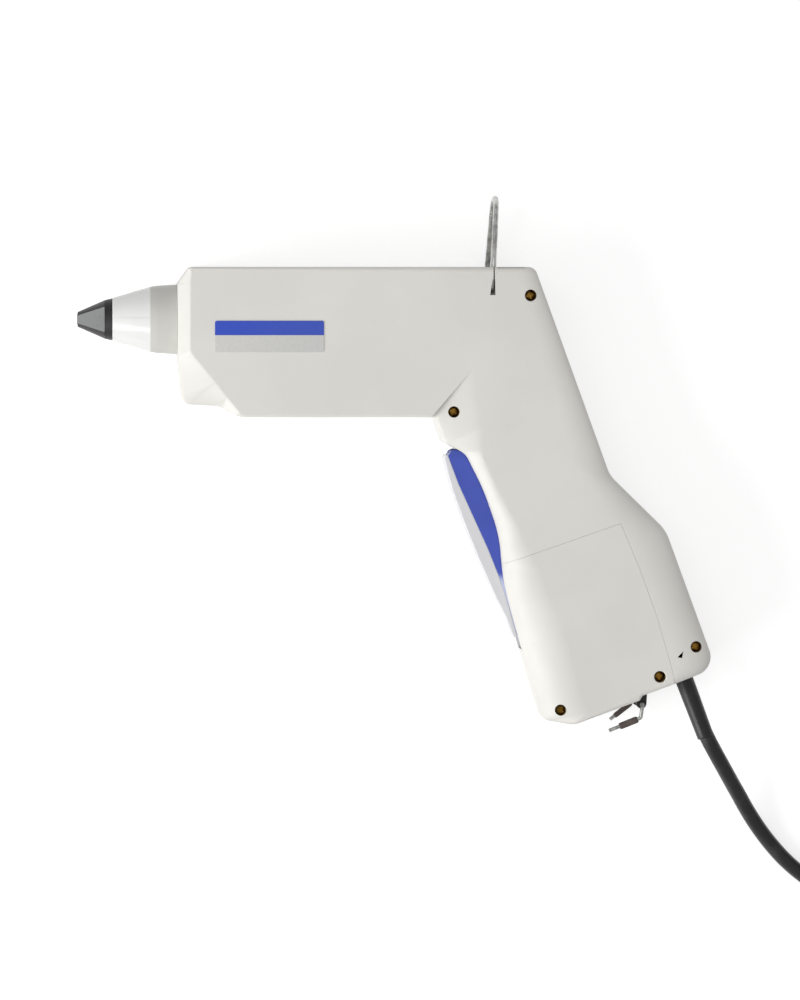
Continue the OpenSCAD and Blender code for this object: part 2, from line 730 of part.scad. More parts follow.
module stand_feet() {
    color([0.3, 0.26, 0.24]) for (leg = [[stand_at, stand_tip, stand_low, 2.6, 11.5, 1.15],
        [stand_knee, stand_end, casing_w - stand_low, 1.4, 9.6, 1.45]]) {
        way = unit(leg[1] - leg[0]);
        z = leg[2];
        a = leg[0] + way * leg[3];
        b = leg[0] + way * leg[4];
        difference() {
            rod([a.x, a.y, z], [b.x, b.y, z], leg[5]);
            rod([a.x - way.x, a.y - way.y, z], [b.x + way.x, b.y + way.y, z], stand_wire_r);
        }
    }
}

module stand_brackets() {
    color(black) for (z = [11, casing_w - 15]) difference() {
        union() {
            post(stand_at, z, z + 4, 2.1);
            plate([[116.8, -160], [118, -155.6], [121.4, -155.4], [121, -162], [117, -162]], z, z + 4);
        }
        plate(wide, z - 1, z + 5);
        post(stand_at, z - 1, z + 5, stand_wire_r + 0.06);
    }
}

// ---- Lead and wiring ----

lead_way = [sin(cord_tilt), -cos(cord_tilt), 0];
lead_start = cord_exit - 10 * lead_way;

module cord_boot() {
    color(black) difference() {
        translate(lead_start) rotate([90, 0, cord_tilt]) {
            cylinder(h = 2.5, r = 6);
            cylinder(h = 10, r = boot_r - 0.1);
            translate([0, 0, 10]) cylinder(h = 26, r1 = boot_r - 0.1, r2 = cord_d / 2 + 0.3);
        }
        translate(lead_start) rotate([90, 0, cord_tilt])
            translate([0, 0, -1]) cylinder(h = 40, r = cord_d / 2 + 0.1);
    }
}

module cord_clamp() {
    color(dark_grey) difference() {
        translate(lead_start - 16 * lead_way) rotate([90, 0, cord_tilt])
            translate([-9, 2.8, 0]) cube([18, 4.2, 6]);
        tube([lead_start - 20 * lead_way, lead_start], cord_d / 2 + 0.05, 24);
        for (p = clamp_screw_at) post(p, 0, casing_w, screw_r + 0.15);
    }
}
lead_side = [cos(cord_tilt), sin(cord_tilt)];
clamp_middle = [lead_start.x, lead_start.y] - 13 * [lead_way.x, lead_way.y];
clamp_reach = 6.3;                 // from the lead's axis to each of the clamp's screws
clamp_post_r = 2.9;
clamp_screw_at = [for (s = [-1, 1]) clamp_middle + s * clamp_reach * lead_side];
module clamp_screws() color(steel) for (p = clamp_screw_at) {
    post(p, mid + 7.05, mid + 8.8, 2.3);
    post(p, mid - 3, mid + 7.05, screw_r);
}

terminal_lo = [92, -88, mid - 8];
terminal_hi = [110, -76, mid + 8];
module terminal_block() {
    color([0.9, 0.88, 0.8]) difference() {
        block(terminal_lo, terminal_hi);
        for (x = [96, 101, 106]) {
            translate([x, -82, mid + 3]) cylinder(h = 10, r = 1.6);
            translate([x, -70, mid]) rotate([90, 0, 0]) cylinder(h = 30, r = 1.3);
        }
    }
}

// Leads from the lead's jacket to the block, and on to the heaters and the thermostat.
module internal_leads() {
    color([0.75, 0.2, 0.15]) {
        for (k = [-1, 0, 1]) tube(spline([[127, -125.4, mid + k * 1.8], [121, -113, mid + k * 2.5],
            [101 + k * 5, -96, mid], [101 + k * 5, -88.4, mid]], 5), 0.9, 6);
        for (k = [0, 1]) tube(spline([[96 + k * 5, -75.6, mid], [94 - k * 3, -62, mid + 6 + k * 4],
            [76 - k * 4, -36 + k * 3, mid + 14], [58, -34.5 + k * 3, mid + 14.8],
            [46, -33 + k * 3, mid + 15], [39.5, -32.2 + k * 3, mid + 14.6],
            [26, -31 + k * 3, mid + 12.6], [0, -30 + k * 3, mid + 12 - 12 * k],
            [-10, -24, mid + 5.5 - 11 * k], [-13.6, -18, mid + 5.5 - 11 * k]], 5), 0.9, 6, [0, 0, 1]);
    }
}

// The lead's way from the clamp, out of the handle and down to the bench.
bench = cord_d / 2 + 0.05;
cord_way = [lead_start - 20 * lead_way, lead_start - 10 * lead_way, lead_start, cord_exit,
    [141.5, -161.6, mid],
    [144.8, -170.1, mid], [148.2, -177.7, 21.6], [151.8, -184.3, 20], [155.3, -190.3, 17.2],
    [159, -196.6, 13.6], [163, -203.3, 9.8], [167.2, -210.4, 6.6], [172, -217.6, 4.4],
    [177.4, -224.6, 3.4], [183.5, -231.3, bench], [191, -237.7, bench], [200, -243.2, bench],
    [210.5, -248, bench],
    [223, -251.6, bench], [237, -253.7, bench], [247, -254.2, bench]];
coil_at = [252, -209.7];
coil_layers = 2;
coil_wide = 1.5 * cord_d + 0.6;    // half the coil's width, which is three turns
coil_high = coil_layers * cord_d + 0.1;
coil_out = coil_r + cord_d;        // middle of the outermost turn
plug_at = [296.2, -160, 6.9];      // back of the plug's body
plug_w = 35;
plug_t = 13.7;
plug_l = 32;
plug_pin_r = 2;
plug_pin_gap = 18.6;
plug_pin_l = 19;
plug_root_l = 8;                   // of each pin inside the plug's body

// The last stretch: it rolls off the outer turn onto the bench beside it, and runs to the plug.
end_way = concat([for (a = [-96 : 14 : -12])
    let (roll = min(90, (a + 96) * 1.6), r = coil_out + (cord_d + 0.1) * sin(roll))
    [coil_at.x + r * cos(a), coil_at.y + r * sin(a), bench + cord_d * cos(roll)]],
    [[coil_at.x + 49.6, -207, bench], [coil_at.x + 47.4, -196, bench + 1.2],
    [plug_at.x + 0.6, -184, plug_at.z - 0.2], [plug_at.x, -174, plug_at.z], [plug_at.x, -166, plug_at.z]]);

module cord() color(black) {
    tube(spline(cord_way, 2), cord_d / 2, 10);
    tube(spline(end_way, 2), cord_d / 2, 10);
}

module cord_coil() {
    color(black) translate([coil_at.x, coil_at.y, 0]) rotate_extrude($fn = 96)
        translate([coil_r - coil_wide, 0]) square([2 * coil_wide, coil_high]);
}

// A band round the coil's turns.
module cord_tie() {
    w = coil_wide + 1.2;
    color(dark_grey) translate([coil_at.x, coil_at.y, 0]) rotate(120) difference() {
        block([coil_r - w, -4, 0], [coil_r + w, 4, coil_high + 1.2]);
        block([coil_r - coil_wide, -5, 0.6], [coil_r + coil_wide, 5, coil_high]);
    }
}

module plug_body() {
    tail = 22;
    half = plug_w / 2;
    outline = rounded([[-5, 0, 2], [5, 0, 2], [half - 4, 9, 5], [half, 18, 3], [half, plug_l, 1.5],
        [-half, plug_l, 1.5], [-half, 18, 3], [4 - half, 9, 5]], 4);
    color(black) difference() {
        translate(plug_at) union() {
            translate([0, 0, -plug_t / 2]) linear_extrude(plug_t) polygon(outline);
            translate([0, 1, 0]) rotate([90, 0, 0]) cylinder(h = tail, r1 = 5, r2 = cord_d / 2 + 0.6);
        }
        translate([plug_at.x, plug_at.y + 2, plug_at.z]) rotate([90, 0, 0])
            cylinder(h = 30, r = cord_d / 2 + 0.1);
        for (s = [-1, 1]) plug_pin(s);
    }
}

module plug_pin(s) {
    translate([plug_at.x + s * plug_pin_gap / 2, plug_at.y + plug_l, plug_at.z]) rotate([-90, 0, 0]) {
        cylinder(h = plug_pin_l, r = plug_pin_r);
        translate([0, 0, -plug_root_l]) cylinder(h = plug_root_l + 1, r = plug_pin_r - 0.6);
    }
}
module plug_pins() color(steel) for (s = [-1, 1]) plug_pin(s);

left_shell();
right_shell();
handle_cover();
casing_screws();
cover_screws();
label_plate();
nozzle_shroud();
nozzle_sleeve();
nozzle_ring();
nozzle();
valve_ball();
valve_spring();
melt_chamber();
chamber_supports();
heater_cartridges();
thermostat();
inlet_collar();
front_guide();
guide_rods();
rear_bushing();
carriage();
grip_pawl();
pawl_pin();
feed_rocker();
rocker_pin();
trigger_lever();
trigger_face();
drive_pin();
trigger_pin();
return_spring();
terminal_block();
internal_leads();
cord_clamp();
clamp_screws();
bail();
stand_wire();
stand_feet();
stand_brackets();
cord_boot();
cord();
cord_coil();
cord_tie();
plug_body();
plug_pins();
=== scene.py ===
"""Looks of a hot-melt glue gun that lies on its right side.

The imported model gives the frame: X runs from the nozzle to the back of the casing, Y from the
handle to the top of the barrel, and Z up from the side that the gun rests on. Lengths in the
sub-assemblies are in millimetres, and MM turns them into Blender's metres.
"""

import logging
import math
from dataclasses import dataclass, field
from enum import Enum
from functools import cache
from typing import Callable, Iterable, Sequence

import bmesh
import bpy
from mathutils import Matrix, Vector


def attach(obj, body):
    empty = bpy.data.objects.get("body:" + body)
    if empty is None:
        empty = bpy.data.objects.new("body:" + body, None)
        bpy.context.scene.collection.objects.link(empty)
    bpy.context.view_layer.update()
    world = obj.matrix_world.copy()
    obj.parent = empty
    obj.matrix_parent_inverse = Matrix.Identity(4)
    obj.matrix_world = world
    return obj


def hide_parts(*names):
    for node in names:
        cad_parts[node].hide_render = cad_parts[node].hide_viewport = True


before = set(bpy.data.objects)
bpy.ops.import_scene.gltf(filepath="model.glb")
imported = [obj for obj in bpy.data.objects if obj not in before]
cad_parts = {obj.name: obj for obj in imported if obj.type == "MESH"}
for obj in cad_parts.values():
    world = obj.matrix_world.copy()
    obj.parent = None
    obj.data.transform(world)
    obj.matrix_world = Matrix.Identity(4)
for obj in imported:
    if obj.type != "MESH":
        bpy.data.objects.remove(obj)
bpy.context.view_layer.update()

log = logging.getLogger("glue_gun")
MM = 0.001
CASING_W = 44.0
MID = CASING_W / 2
POST_SIDES = 40
WIRE_SIDES = 28
BEND_STEPS = 14

Point2 = tuple[float, float]
Point3 = tuple[float, float, float]
Colour = tuple[float, float, float]
Piece = bpy.types.Object
Socket = bpy.types.NodeSocket

BAIL_AT: Point2 = (55.2, 12.4)
BAIL_LEG = 3.4
TRIGGER_PIN: Point2 = (71.4, -130.4)
LEAD_EXIT: Point3 = (138.2, -152.9, MID)
LEAD_TILT = 20.7
CASING_SCREWS: tuple[Point3, ...] = ((71.2, 10.1, 1.5), (39, -38.7, 2.7), (141, -137.5, 3.5))
COVER_SCREWS: tuple[Point3, ...] = ((84, -164, 5.2), (125.7, -150, 2))


# ---- materials


def linear(colour: Colour) -> tuple[float, float, float, float]:
    """Turn a display colour into the linear one that shaders take.

    Args:
        colour: Red, green and blue as displayed, 0 to 1.

    Returns:
        Linear red, green, blue and an alpha of 1.
    """
    return tuple(c / 12.92 if c <= 0.04045 else ((c + 0.055) / 1.055) ** 2.4 for c in colour) + (1.0,)


def add_node(tree: bpy.types.NodeTree, kind: str, links: dict, **settings: object) -> bpy.types.Node:
    """Add a node to a tree.

    Args:
        tree: The shader or geometry tree.
        kind: Full type of the node.
        links: Input name or number to an output socket or a value.
        settings: Attributes of the node itself.

    Returns:
        The new node.
    """
    made = tree.nodes.new(kind)
    for key, value in settings.items():
        setattr(made, key, value)
    for key, value in links.items():
        if isinstance(value, Socket):
            tree.links.new(value, made.inputs[key])
        else:
            made.inputs[key].default_value = value
    return made


class ShaderTree:
    """A material under construction, with short calls for the nodes that finishes use."""

    def __init__(self, name: str) -> None:
        """Start a material with one Principled shader.

        Args:
            name: Name of the material.
        """
        self.material = bpy.data.materials.new(name)
        self.material.use_nodes = True
        self.tree = self.material.node_tree
        self.shader = self.tree.nodes["Principled BSDF"]
        self.place = self.node("TexCoord", {}).outputs["Object"]

    def set(self, **values: float | Sequence[float]) -> None:
        """Set the shader's own sockets, with underscores for spaces in their names."""
        for key, value in values.items():
            self.shader.inputs[key.replace("_", " ")].default_value = value

    def feed(self, socket: str, source: Socket) -> None:
        """Link an output to one of the shader's sockets."""
        self.tree.links.new(source, self.shader.inputs[socket])

    def node(self, kind: str, links: dict, **settings: object) -> bpy.types.Node:
        """Add a node, its kind without the ShaderNode prefix."""
        return add_node(self.tree, "ShaderNode" + kind, links, **settings)

    def math(self, operation: str, a: Socket, b: Socket | float) -> Socket:
        """A sum, product or the like of an output and another one or a number."""
        return self.node("Math", {0: a, 1: b}, operation=operation).outputs[0]

    def axis(self, name: str) -> Socket:
        """The object's own coordinate along X, Y or Z."""
        return self.node("SeparateXYZ", {0: self.place}).outputs[name]

    def noise(self, scale: float, detail: float = 3.0, stretch: Point3 = (1, 1, 1)) -> Socket:
        """Noise over the object's own coordinates.

        Args:
            scale: Features to a metre.
            detail: Octaves of finer noise.
            stretch: Scale along each axis, for grain with a direction.

        Returns:
            The noise's value.
        """
        place = self.node("Mapping", {"Vector": self.place, "Scale": stretch}).outputs["Vector"]
        return self.node("TexNoise", {"Vector": place, "Scale": scale, "Detail": detail}).outputs["Fac"]

    def ramp(self, value: Socket, stops: Sequence[Point2]) -> Socket:
        """A smooth step from one number to another along a value.

        Args:
            value: The value.
            stops: Two pairs of a place along the value and the number there.

        Returns:
            The number at each value.
        """
        (a, low), (b, high) = stops
        return self.node("MapRange", {"Value": value, "From Min": a, "From Max": b, "To Min": low,
                                      "To Max": high}, interpolation_type="SMOOTHSTEP").outputs["Result"]

    def rough(self, value: Socket, least: float, most: float) -> None:
        """Let the roughness wander between two amounts along a noise."""
        self.feed("Roughness", self.ramp(value, [(0.3, least), (0.7, most)]))

    def blend(self, share: Socket, a: Colour | Socket, b: Colour | Socket) -> Socket:
        """Mix two colours, each a display colour or an output, by a share.

        Args:
            share: How much of the second colour there is, 0 to 1.
            a: First colour.
            b: Second colour.

        Returns:
            The mixed colour.
        """
        ends = {index: value if isinstance(value, Socket) else linear(value)
                for index, value in ((6, a), (7, b))}
        return self.node("Mix", {"Factor": share, **ends}, data_type="RGBA").outputs[2]

    def relief(self, heights: Iterable[tuple[Socket, float]]) -> None:
        """Stack bumps on the shader, each an output and its height in millimetres.

        Args:
            heights: Pairs of an output and the height that it makes.
        """
        normal = None
        for value, height in heights:
            links = {"Height": value, "Distance": height * MM, "Strength": 1.0}
            if normal is not None:
                links["Normal"] = normal
            normal = self.node("Bump", links).outputs["Normal"]
        self.feed("Normal", normal)


def shade(colour: Colour, k: float) -> Colour:
    """A colour made lighter or darker by a factor."""
    return tuple(min(1.0, c * k) for c in colour)


@dataclass(frozen=True)
class Finish:
    """A finish: its name, its colour and how it paints a material."""

    name: str
    colour: Colour

    def material(self) -> bpy.types.Material:
        """Build the material.

        Returns:
            The material.
        """
        tree = ShaderTree(self.name)
        self.paint(tree)
        return tree.material

    def paint(self, tree: ShaderTree) -> None:
        """Link what the finish needs to the material's shader."""
        raise NotImplementedError


@cache
def material_of(finish: Finish) -> bpy.types.Material:
    """The material of a finish, built once."""
    return finish.material()


@dataclass(frozen=True)
class MouldedPlastic(Finish):
    """Moulded plastic with a fine grain, faint flow marks and a little handling dirt."""

    roughness: float = 0.45
    grain: float = 0.004
    flow: float = 0.02
    dirt: float = 0.03

    def paint(self, tree: ShaderTree) -> None:
        """Link what the finish needs to the material's shader.

        Args:
            tree: The material under construction.
        """
        broad = tree.noise(18.0, 4.0)
        fine = tree.noise(2600.0, 2.0)
        specks = tree.ramp(tree.noise(420.0, 5.0), [(0.66, 0.0), (0.78, 1.0)])
        tone = tree.blend(tree.ramp(broad, [(0.3, 0.0), (0.7, 1.0)]), shade(self.colour, 1 - self.flow),
                          shade(self.colour, 1 + self.flow * 0.6))
        tree.feed("Base Color", tree.blend(specks, tone, shade(self.colour, 1 - 4 * self.dirt)))
        tree.rough(tree.noise(140.0, 4.0), self.roughness - 0.05, self.roughness + 0.06)
        tree.relief([(tree.noise(90.0, 2.0), self.grain * 8), (fine, self.grain)])


@dataclass(frozen=True)
class PlainMetal(Finish):
    """Bare or plated metal with drawn or turned marks along one direction."""

    roughness: float = 0.3
    stretch: Point3 = (1.0, 1.0, 1.0)
    tarnish: float = 0.12
    scratch: float = 0.002

    def paint(self, tree: ShaderTree) -> None:
        """Link what the finish needs to the material's shader.

        Args:
            tree: The material under construction.
        """
        patches = tree.ramp(tree.noise(260.0, 5.0), [(0.35, 0.0), (0.75, 1.0)])
        tree.feed("Base Color", tree.blend(patches, self.colour, shade(self.colour, 1 - self.tarnish * 2)))
        marks = tree.noise(1800.0, 3.0, self.stretch)
        tree.rough(marks, self.roughness - 0.06, self.roughness + 0.12)
        tree.relief([(marks, self.scratch)])
        tree.set(Metallic=1.0)


@dataclass(frozen=True)
class SoftRubber(Finish):
    """Rubber or soft plastic with a dull bloom and a fine skin."""

    bloom: Colour
    roughness: float = 0.55
    skin: float = 0.006

    def paint(self, tree: ShaderTree) -> None:
        """Link what the finish needs to the material's shader.

        Args:
            tree: The material under construction.
        """
        dust = tree.ramp(tree.noise(210.0, 6.0), [(0.45, 0.0), (0.8, 1.0)])
        tree.feed("Base Color", tree.blend(dust, self.colour, self.bloom))
        tree.rough(tree.noise(80.0, 4.0), self.roughness - 0.08, self.roughness + 0.08)
        tree.relief([(tree.noise(1500.0, 3.0), self.skin)])


# ---- shapes


def unit2(a: Point2, b: Point2) -> Point2:
    """Direction from one point to another in a plane."""
    length = math.hypot(b[0] - a[0], b[1] - a[1]) or 1.0
    return ((b[0] - a[0]) / length, (b[1] - a[1]) / length)


def corner(a: Point2, p: Point2, b: Point2, radius: float, steps: int) -> list[Point2]:
    """Points of one rounded corner.

    Args:
        a: The corner before it.
        p: The corner itself.
        b: The corner after it.
        radius: Radius of the rounding.
        steps: Segments of the arc.

    Returns:
        The arc's points, from a's side to b's.
    """
    u, v = unit2(p, a), unit2(p, b)
    half = math.acos(max(-1.0, min(1.0, u[0] * v[0] + u[1] * v[1]))) / 2
    reach = min(radius / math.tan(half), 0.49 * min(math.dist(p, a), math.dist(p, b)))
    r = reach * math.tan(half)
    w = unit2((0, 0), (u[0] + v[0], u[1] + v[1]))
    centre = (p[0] + w[0] * r / math.sin(half), p[1] + w[1] * r / math.sin(half))
    start = (p[0] + u[0] * reach - centre[0], p[1] + u[1] * reach - centre[1])
    end = (p[0] + v[0] * reach - centre[0], p[1] + v[1] * reach - centre[1])
    arc = []
    for i in range(steps + 1):
        q = (start[0] * (steps - i) + end[0] * i, start[1] * (steps - i) + end[1] * i)
        k = r / math.hypot(*q)
        arc.append((centre[0] + q[0] * k, centre[1] + q[1] * k))
    return arc


def rounded(corners: Sequence[Point3], steps: int) -> list[list[Point2]]:
    """The arcs of a closed outline whose corners are x, y and radius.

    Args:
        corners: Corners of the outline, each x, y and radius.
        steps: Segments of each arc.

    Returns:
        One arc's points for each corner.
    """
    count = len(corners)
    return [corner(corners[i - 1][:2], corners[i][:2], corners[(i + 1) % count][:2],
                   max(corners[i][2], 0.05), steps) for i in range(count)]


def outline(corners: Sequence[Point3], steps: int) -> list[Point2]:
    """A closed outline, or a profile, with rounded corners, each x, y and radius."""
    return [p for arc in rounded(corners, steps) for p in arc]


def moved(points: Sequence[Point2], distance: float) -> list[Point2]:
    """A closed outline moved by a distance to the left of its way round.

    Args:
        points: Corners of the outline.
        distance: How far it moves, negative to the right.

    Returns:
        The new corners.
    """
    out = []
    for i, p in enumerate(points):
        e, f = unit2(points[i - 1], p), unit2(p, points[(i + 1) % len(points)])
        w = (-e[1] - f[1], e[0] + f[0])
        k = 2 * distance / (w[0] ** 2 + w[1] ** 2)
        out.append((p[0] + w[0] * k, p[1] + w[1] * k))
    return out


def between(a: Sequence[float], b: Sequence[float], t: float) -> tuple[float, ...]:
    """The numbers at a share of the way from one row to another."""
    return tuple(p + (q - p) * t for p, q in zip(a, b))


def spline(points: Sequence[Point3], steps: int) -> list[Point3]:
    """A smooth curve through points, with a number of steps to each span.

    Args:
        points: Points that the curve passes through.
        steps: Straight steps to each span.

    Returns:
        The curve's points.
    """
    out = []
    for i in range(len(points) - 1):
        a, b = Vector(points[max(i - 1, 0)]), Vector(points[i])
        c, d = Vector(points[i + 1]), Vector(points[min(i + 2, len(points) - 1)])
        for k in range(steps):
            t = k / steps
            out.append(tuple(0.5 * (2 * b + (c - a) * t + (2 * a - 5 * b + 4 * c - d) * t * t
                                    + (3 * b - a - 3 * c + d) * t ** 3)))
    out.append(tuple(points[-1]))
    return out


def new_object(name: str, data: bpy.types.ID) -> Piece:
    """Put a mesh, a curve, a lamp or a camera into the scene.

    Args:
        name: Name of the object.
        data: What it shows.

    Returns:
        The new object.
    """
    made = bpy.data.objects.new(name, data)
    bpy.context.scene.collection.objects.link(made)
    return made


def solid(name: str, points: Iterable[Point3], faces: Iterable[Sequence[int]]) -> Piece:
    """Make a closed mesh from points in millimetres, with its faces turned outwards.

    Args:
        name: Name of the piece.
        points: Its points in millimetres.
        faces: Numbers of the points of each face.

    Returns:
        The piece.
    """
    mesh = bpy.data.meshes.new(name)
    mesh.from_pydata([tuple(c * MM for c in p) for p in points], [], [tuple(f) for f in faces])
    tidy_mesh(mesh)
    return new_object(name, mesh)


def tidy_mesh(mesh: bpy.types.Mesh, merge: float = 1e-7) -> None:
    """Merge doubles in a mesh and turn its faces outwards.

    Args:
        mesh: The mesh.
        merge: Distance in metres under which points are one.
    """
    made = bmesh.new()
    made.from_mesh(mesh)
    bmesh.ops.remove_doubles(made, verts=made.verts, dist=merge)
    bmesh.ops.recalc_face_normals(made, faces=made.faces)
    made.to_mesh(mesh)
    made.free()


def lofted(name: str, rings: Sequence[Sequence[Point3]]) -> Piece:
    """A solid through rings of points in millimetres, with caps at both ends.

    Args:
        name: Name of the piece.
        rings: Rings in order, each with as many points.

    Returns:
        The piece.
    """
    count, last = len(rings[0]), len(rings) - 1
    faces = [(r * count + i, r * count + (i + 1) % count, (r + 1) * count + (i + 1) % count,
              (r + 1) * count + i) for r in range(last) for i in range(count)]
    faces += [range(count)[::-1], [last * count + i for i in range(count)]]
    return solid(name, [p for ring in rings for p in ring], faces)


def prism(name: str, points: Sequence[Point2], z0: float, z1: float) -> Piece:
    """An outline in X and Y as a solid from z0 to z1."""
    return lofted(name, [[(x, y, z) for x, y in points] for z in (z0, z1)])


def block(name: str, lo: Point3, hi: Point3) -> Piece:
    """A block from its low corner to its high corner, for a cut."""
    return prism(name, [(lo[0], lo[1]), (hi[0], lo[1]), (hi[0], hi[1]), (lo[0], hi[1])], lo[2], hi[2])


def spun(name: str, profile: Sequence[Point2], origin: Point3 = (0, 0, MID), way: Point3 = (1, 0, 0),
         sides: int = 48, closed: bool = True) -> Piece:
    """Spin a profile round an axis.

    Args:
        name: Name of the piece.
        profile: Points of distance along the axis and radius, in order.
        origin: Where the distance is 0.
        way: Direction of the axis.
        sides: Segments round the axis.
        closed: True joins the last point to the first, as in a tube's wall.

    Returns:
        The piece.
    """
    along = Vector(way).normalized()
    out = along.orthogonal().normalized()
    side = along.cross(out)
    points, count = [], len(profile)
    for k in range(sides):
        a = 2 * math.pi * k / sides
        radial = out * math.cos(a) + side * math.sin(a)
        points += [tuple(Vector(origin) + along * d + radial * r) for d, r in profile]
    faces = []
    for k in range(sides):
        a, b = k * count, (k + 1) % sides * count
        faces += [(a + i, a + (i + 1) % count, b + (i + 1) % count, b + i)
                  for i in range(count if closed else count - 1)]
    return solid(name, points, faces)


def post(name: str, at: Point2, z0: float, z1: float, radius: float) -> Piece:
    """A cylinder along Z, for a cut or a boss."""
    turns = [2 * math.pi * k / POST_SIDES for k in range(POST_SIDES)]
    return prism(name, [(at[0] + radius * math.cos(a), at[1] + radius * math.sin(a)) for a in turns], z0, z1)


def rod(name: str, a: Point3, b: Point3, radius: float, sides: int = 48) -> Piece:
    """A straight cylinder between two points.

    Args:
        name: Name of the piece.
        a: Middle of one end.
        b: Middle of the other end.
        radius: Radius of the cylinder.
        sides: Segments round it.

    Returns:
        The piece.
    """
    way = Vector(b) - Vector(a)
    profile = [(0, 0), (0, radius), (way.length, radius), (way.length, 0)]
    return spun(name, profile, a, tuple(way), sides, False)


def mirrored(piece: Piece) -> Piece:
    """Turn a piece over in its mesh, about the plane where the halves meet.

    Args:
        piece: The piece, whose own mesh is changed.

    Returns:
        The same piece.
    """
    for v in piece.data.vertices:
        v.co.z = CASING_W * MM - v.co.z
    tidy_mesh(piece.data)
    return piece


def discard(pieces: Iterable[Piece]) -> None:
    """Remove helper objects."""
    for piece in list(pieces):
        bpy.data.objects.remove(piece, do_unlink=True)


def settled(piece: Piece, name: str) -> Piece:
    """Turn what an object's modifiers make into a plain mesh of its own.

    Args:
        piece: The object with its modifiers, which is removed.
        name: Name of the result.

    Returns:
        A new object with no modifiers.
    """
    graph = bpy.context.evaluated_depsgraph_get()
    mesh = bpy.data.meshes.new_from_object(piece.evaluated_get(graph))
    discard([piece])
    mesh.name = name
    return new_object(name, mesh)


class Cut(Enum):
    """What a Boolean step does with its helpers."""

    JOIN = "UNION"
    TAKE = "DIFFERENCE"
    KEEP = "INTERSECT"


def carved(name: str, base: Piece, steps: Sequence[tuple[Cut, Sequence[Piece]]]) -> Piece:
    """Work a solid with helpers, which are removed.

    Args:
        name: Name of the result.
        base: The solid to start from.
        steps: What to do in turn, and with which solids.

    Returns:
        The result as a plain mesh.
    """
    helpers = []
    for index, (cut, tools) in enumerate(steps):
        group = bpy.data.collections.new(f"{name}_tools_{index}")
        for tool in tools:
            group.objects.link(tool)
        step = base.modifiers.new(cut.name, "BOOLEAN")
        step.operation, step.solver = cut.value, "EXACT"
        step.operand_type, step.collection = "COLLECTION", group
        helpers.append((group, tools))
    made = settled(base, name)
    for group, tools in helpers:
        discard(tools)
        bpy.data.collections.remove(group)
    tidy_mesh(made.data, 1e-6)
    return made


def smooth(piece: Piece, angle: float, weighted: bool = True) -> Piece:
    """Shade a piece smooth up to an angle, with flat faces kept flat.

    Args:
        piece: The piece.
        angle: Sharpest turn that still looks smooth, in degrees.
        weighted: True lets large faces rule the shading at their edges.

    Returns:
        The piece, or the one that takes its place.
    """
    piece.data.shade_smooth()
    piece.data.set_sharp_from_angle(angle=math.radians(angle))
    if not weighted:
        return piece
    step = piece.modifiers.new("flats", "WEIGHTED_NORMAL")
    step.keep_sharp = True
    return settled(piece, piece.name)


def bevelled(piece: Piece, width: float, segments: int, angle: float) -> Piece:
    """Round the edges of a piece that turn by more than an angle, by a width in millimetres.

    Args:
        piece: The piece, which is removed.
        width: Width of the rounding.
        segments: Segments of the rounding.
        angle: Least turn that is rounded, in degrees.

    Returns:
        The piece that takes its place.
    """
    step = piece.modifiers.new("edges", "BEVEL")
    step.width, step.segments = width * MM, segments
    step.limit_method, step.angle_limit = "ANGLE", math.radians(angle)
    step.use_clamp_overlap = True
    return settled(piece, piece.name)


def merged(name: str, pieces: Sequence[Piece]) -> Piece:
    """Put several meshes into one object, and remove them.

    Args:
        name: Name of the result.
        pieces: The pieces, which are removed.

    Returns:
        One object that holds all their faces.
    """
    made = bmesh.new()
    for piece in pieces:
        made.from_mesh(piece.data)
    mesh = bpy.data.meshes.new(name)
    made.to_mesh(mesh)
    made.free()
    discard(pieces)
    return new_object(name, mesh)


def dress(piece: Piece, *finishes: Finish) -> Piece:
    """Give a piece its finishes, one for each of its slots.

    Args:
        piece: The piece.
        finishes: Its finishes, the first for every face at first.

    Returns:
        The same piece.
    """
    piece.data.materials.clear()
    for finish in finishes:
        piece.data.materials.append(material_of(finish))
    return piece


def second_finish(piece: Piece, chosen: Callable[[bpy.types.MeshPolygon], bool]) -> None:
    """Give a piece's second finish to the faces that are chosen.

    Args:
        piece: The piece, dressed with two finishes.
        chosen: Says whether a face takes the second one.
    """
    for face in piece.data.polygons:
        if chosen(face):
            face.material_index = 1


def place(piece: Piece, body: str, slot: str, *nodes: str) -> None:
    """Let a piece ride on a body and say which CAD nodes it stands for.

    Args:
        piece: The finished piece.
        body: The body that carries it.
        slot: The slot that its material is in; not used.
        nodes: CAD nodes that it stands for.
    """
    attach(piece, body)
    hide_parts(*nodes)
    log.info("%s rides on %s and stands for %s", piece.name, body, ", ".join(nodes))


# ---- wires by Geometry Nodes


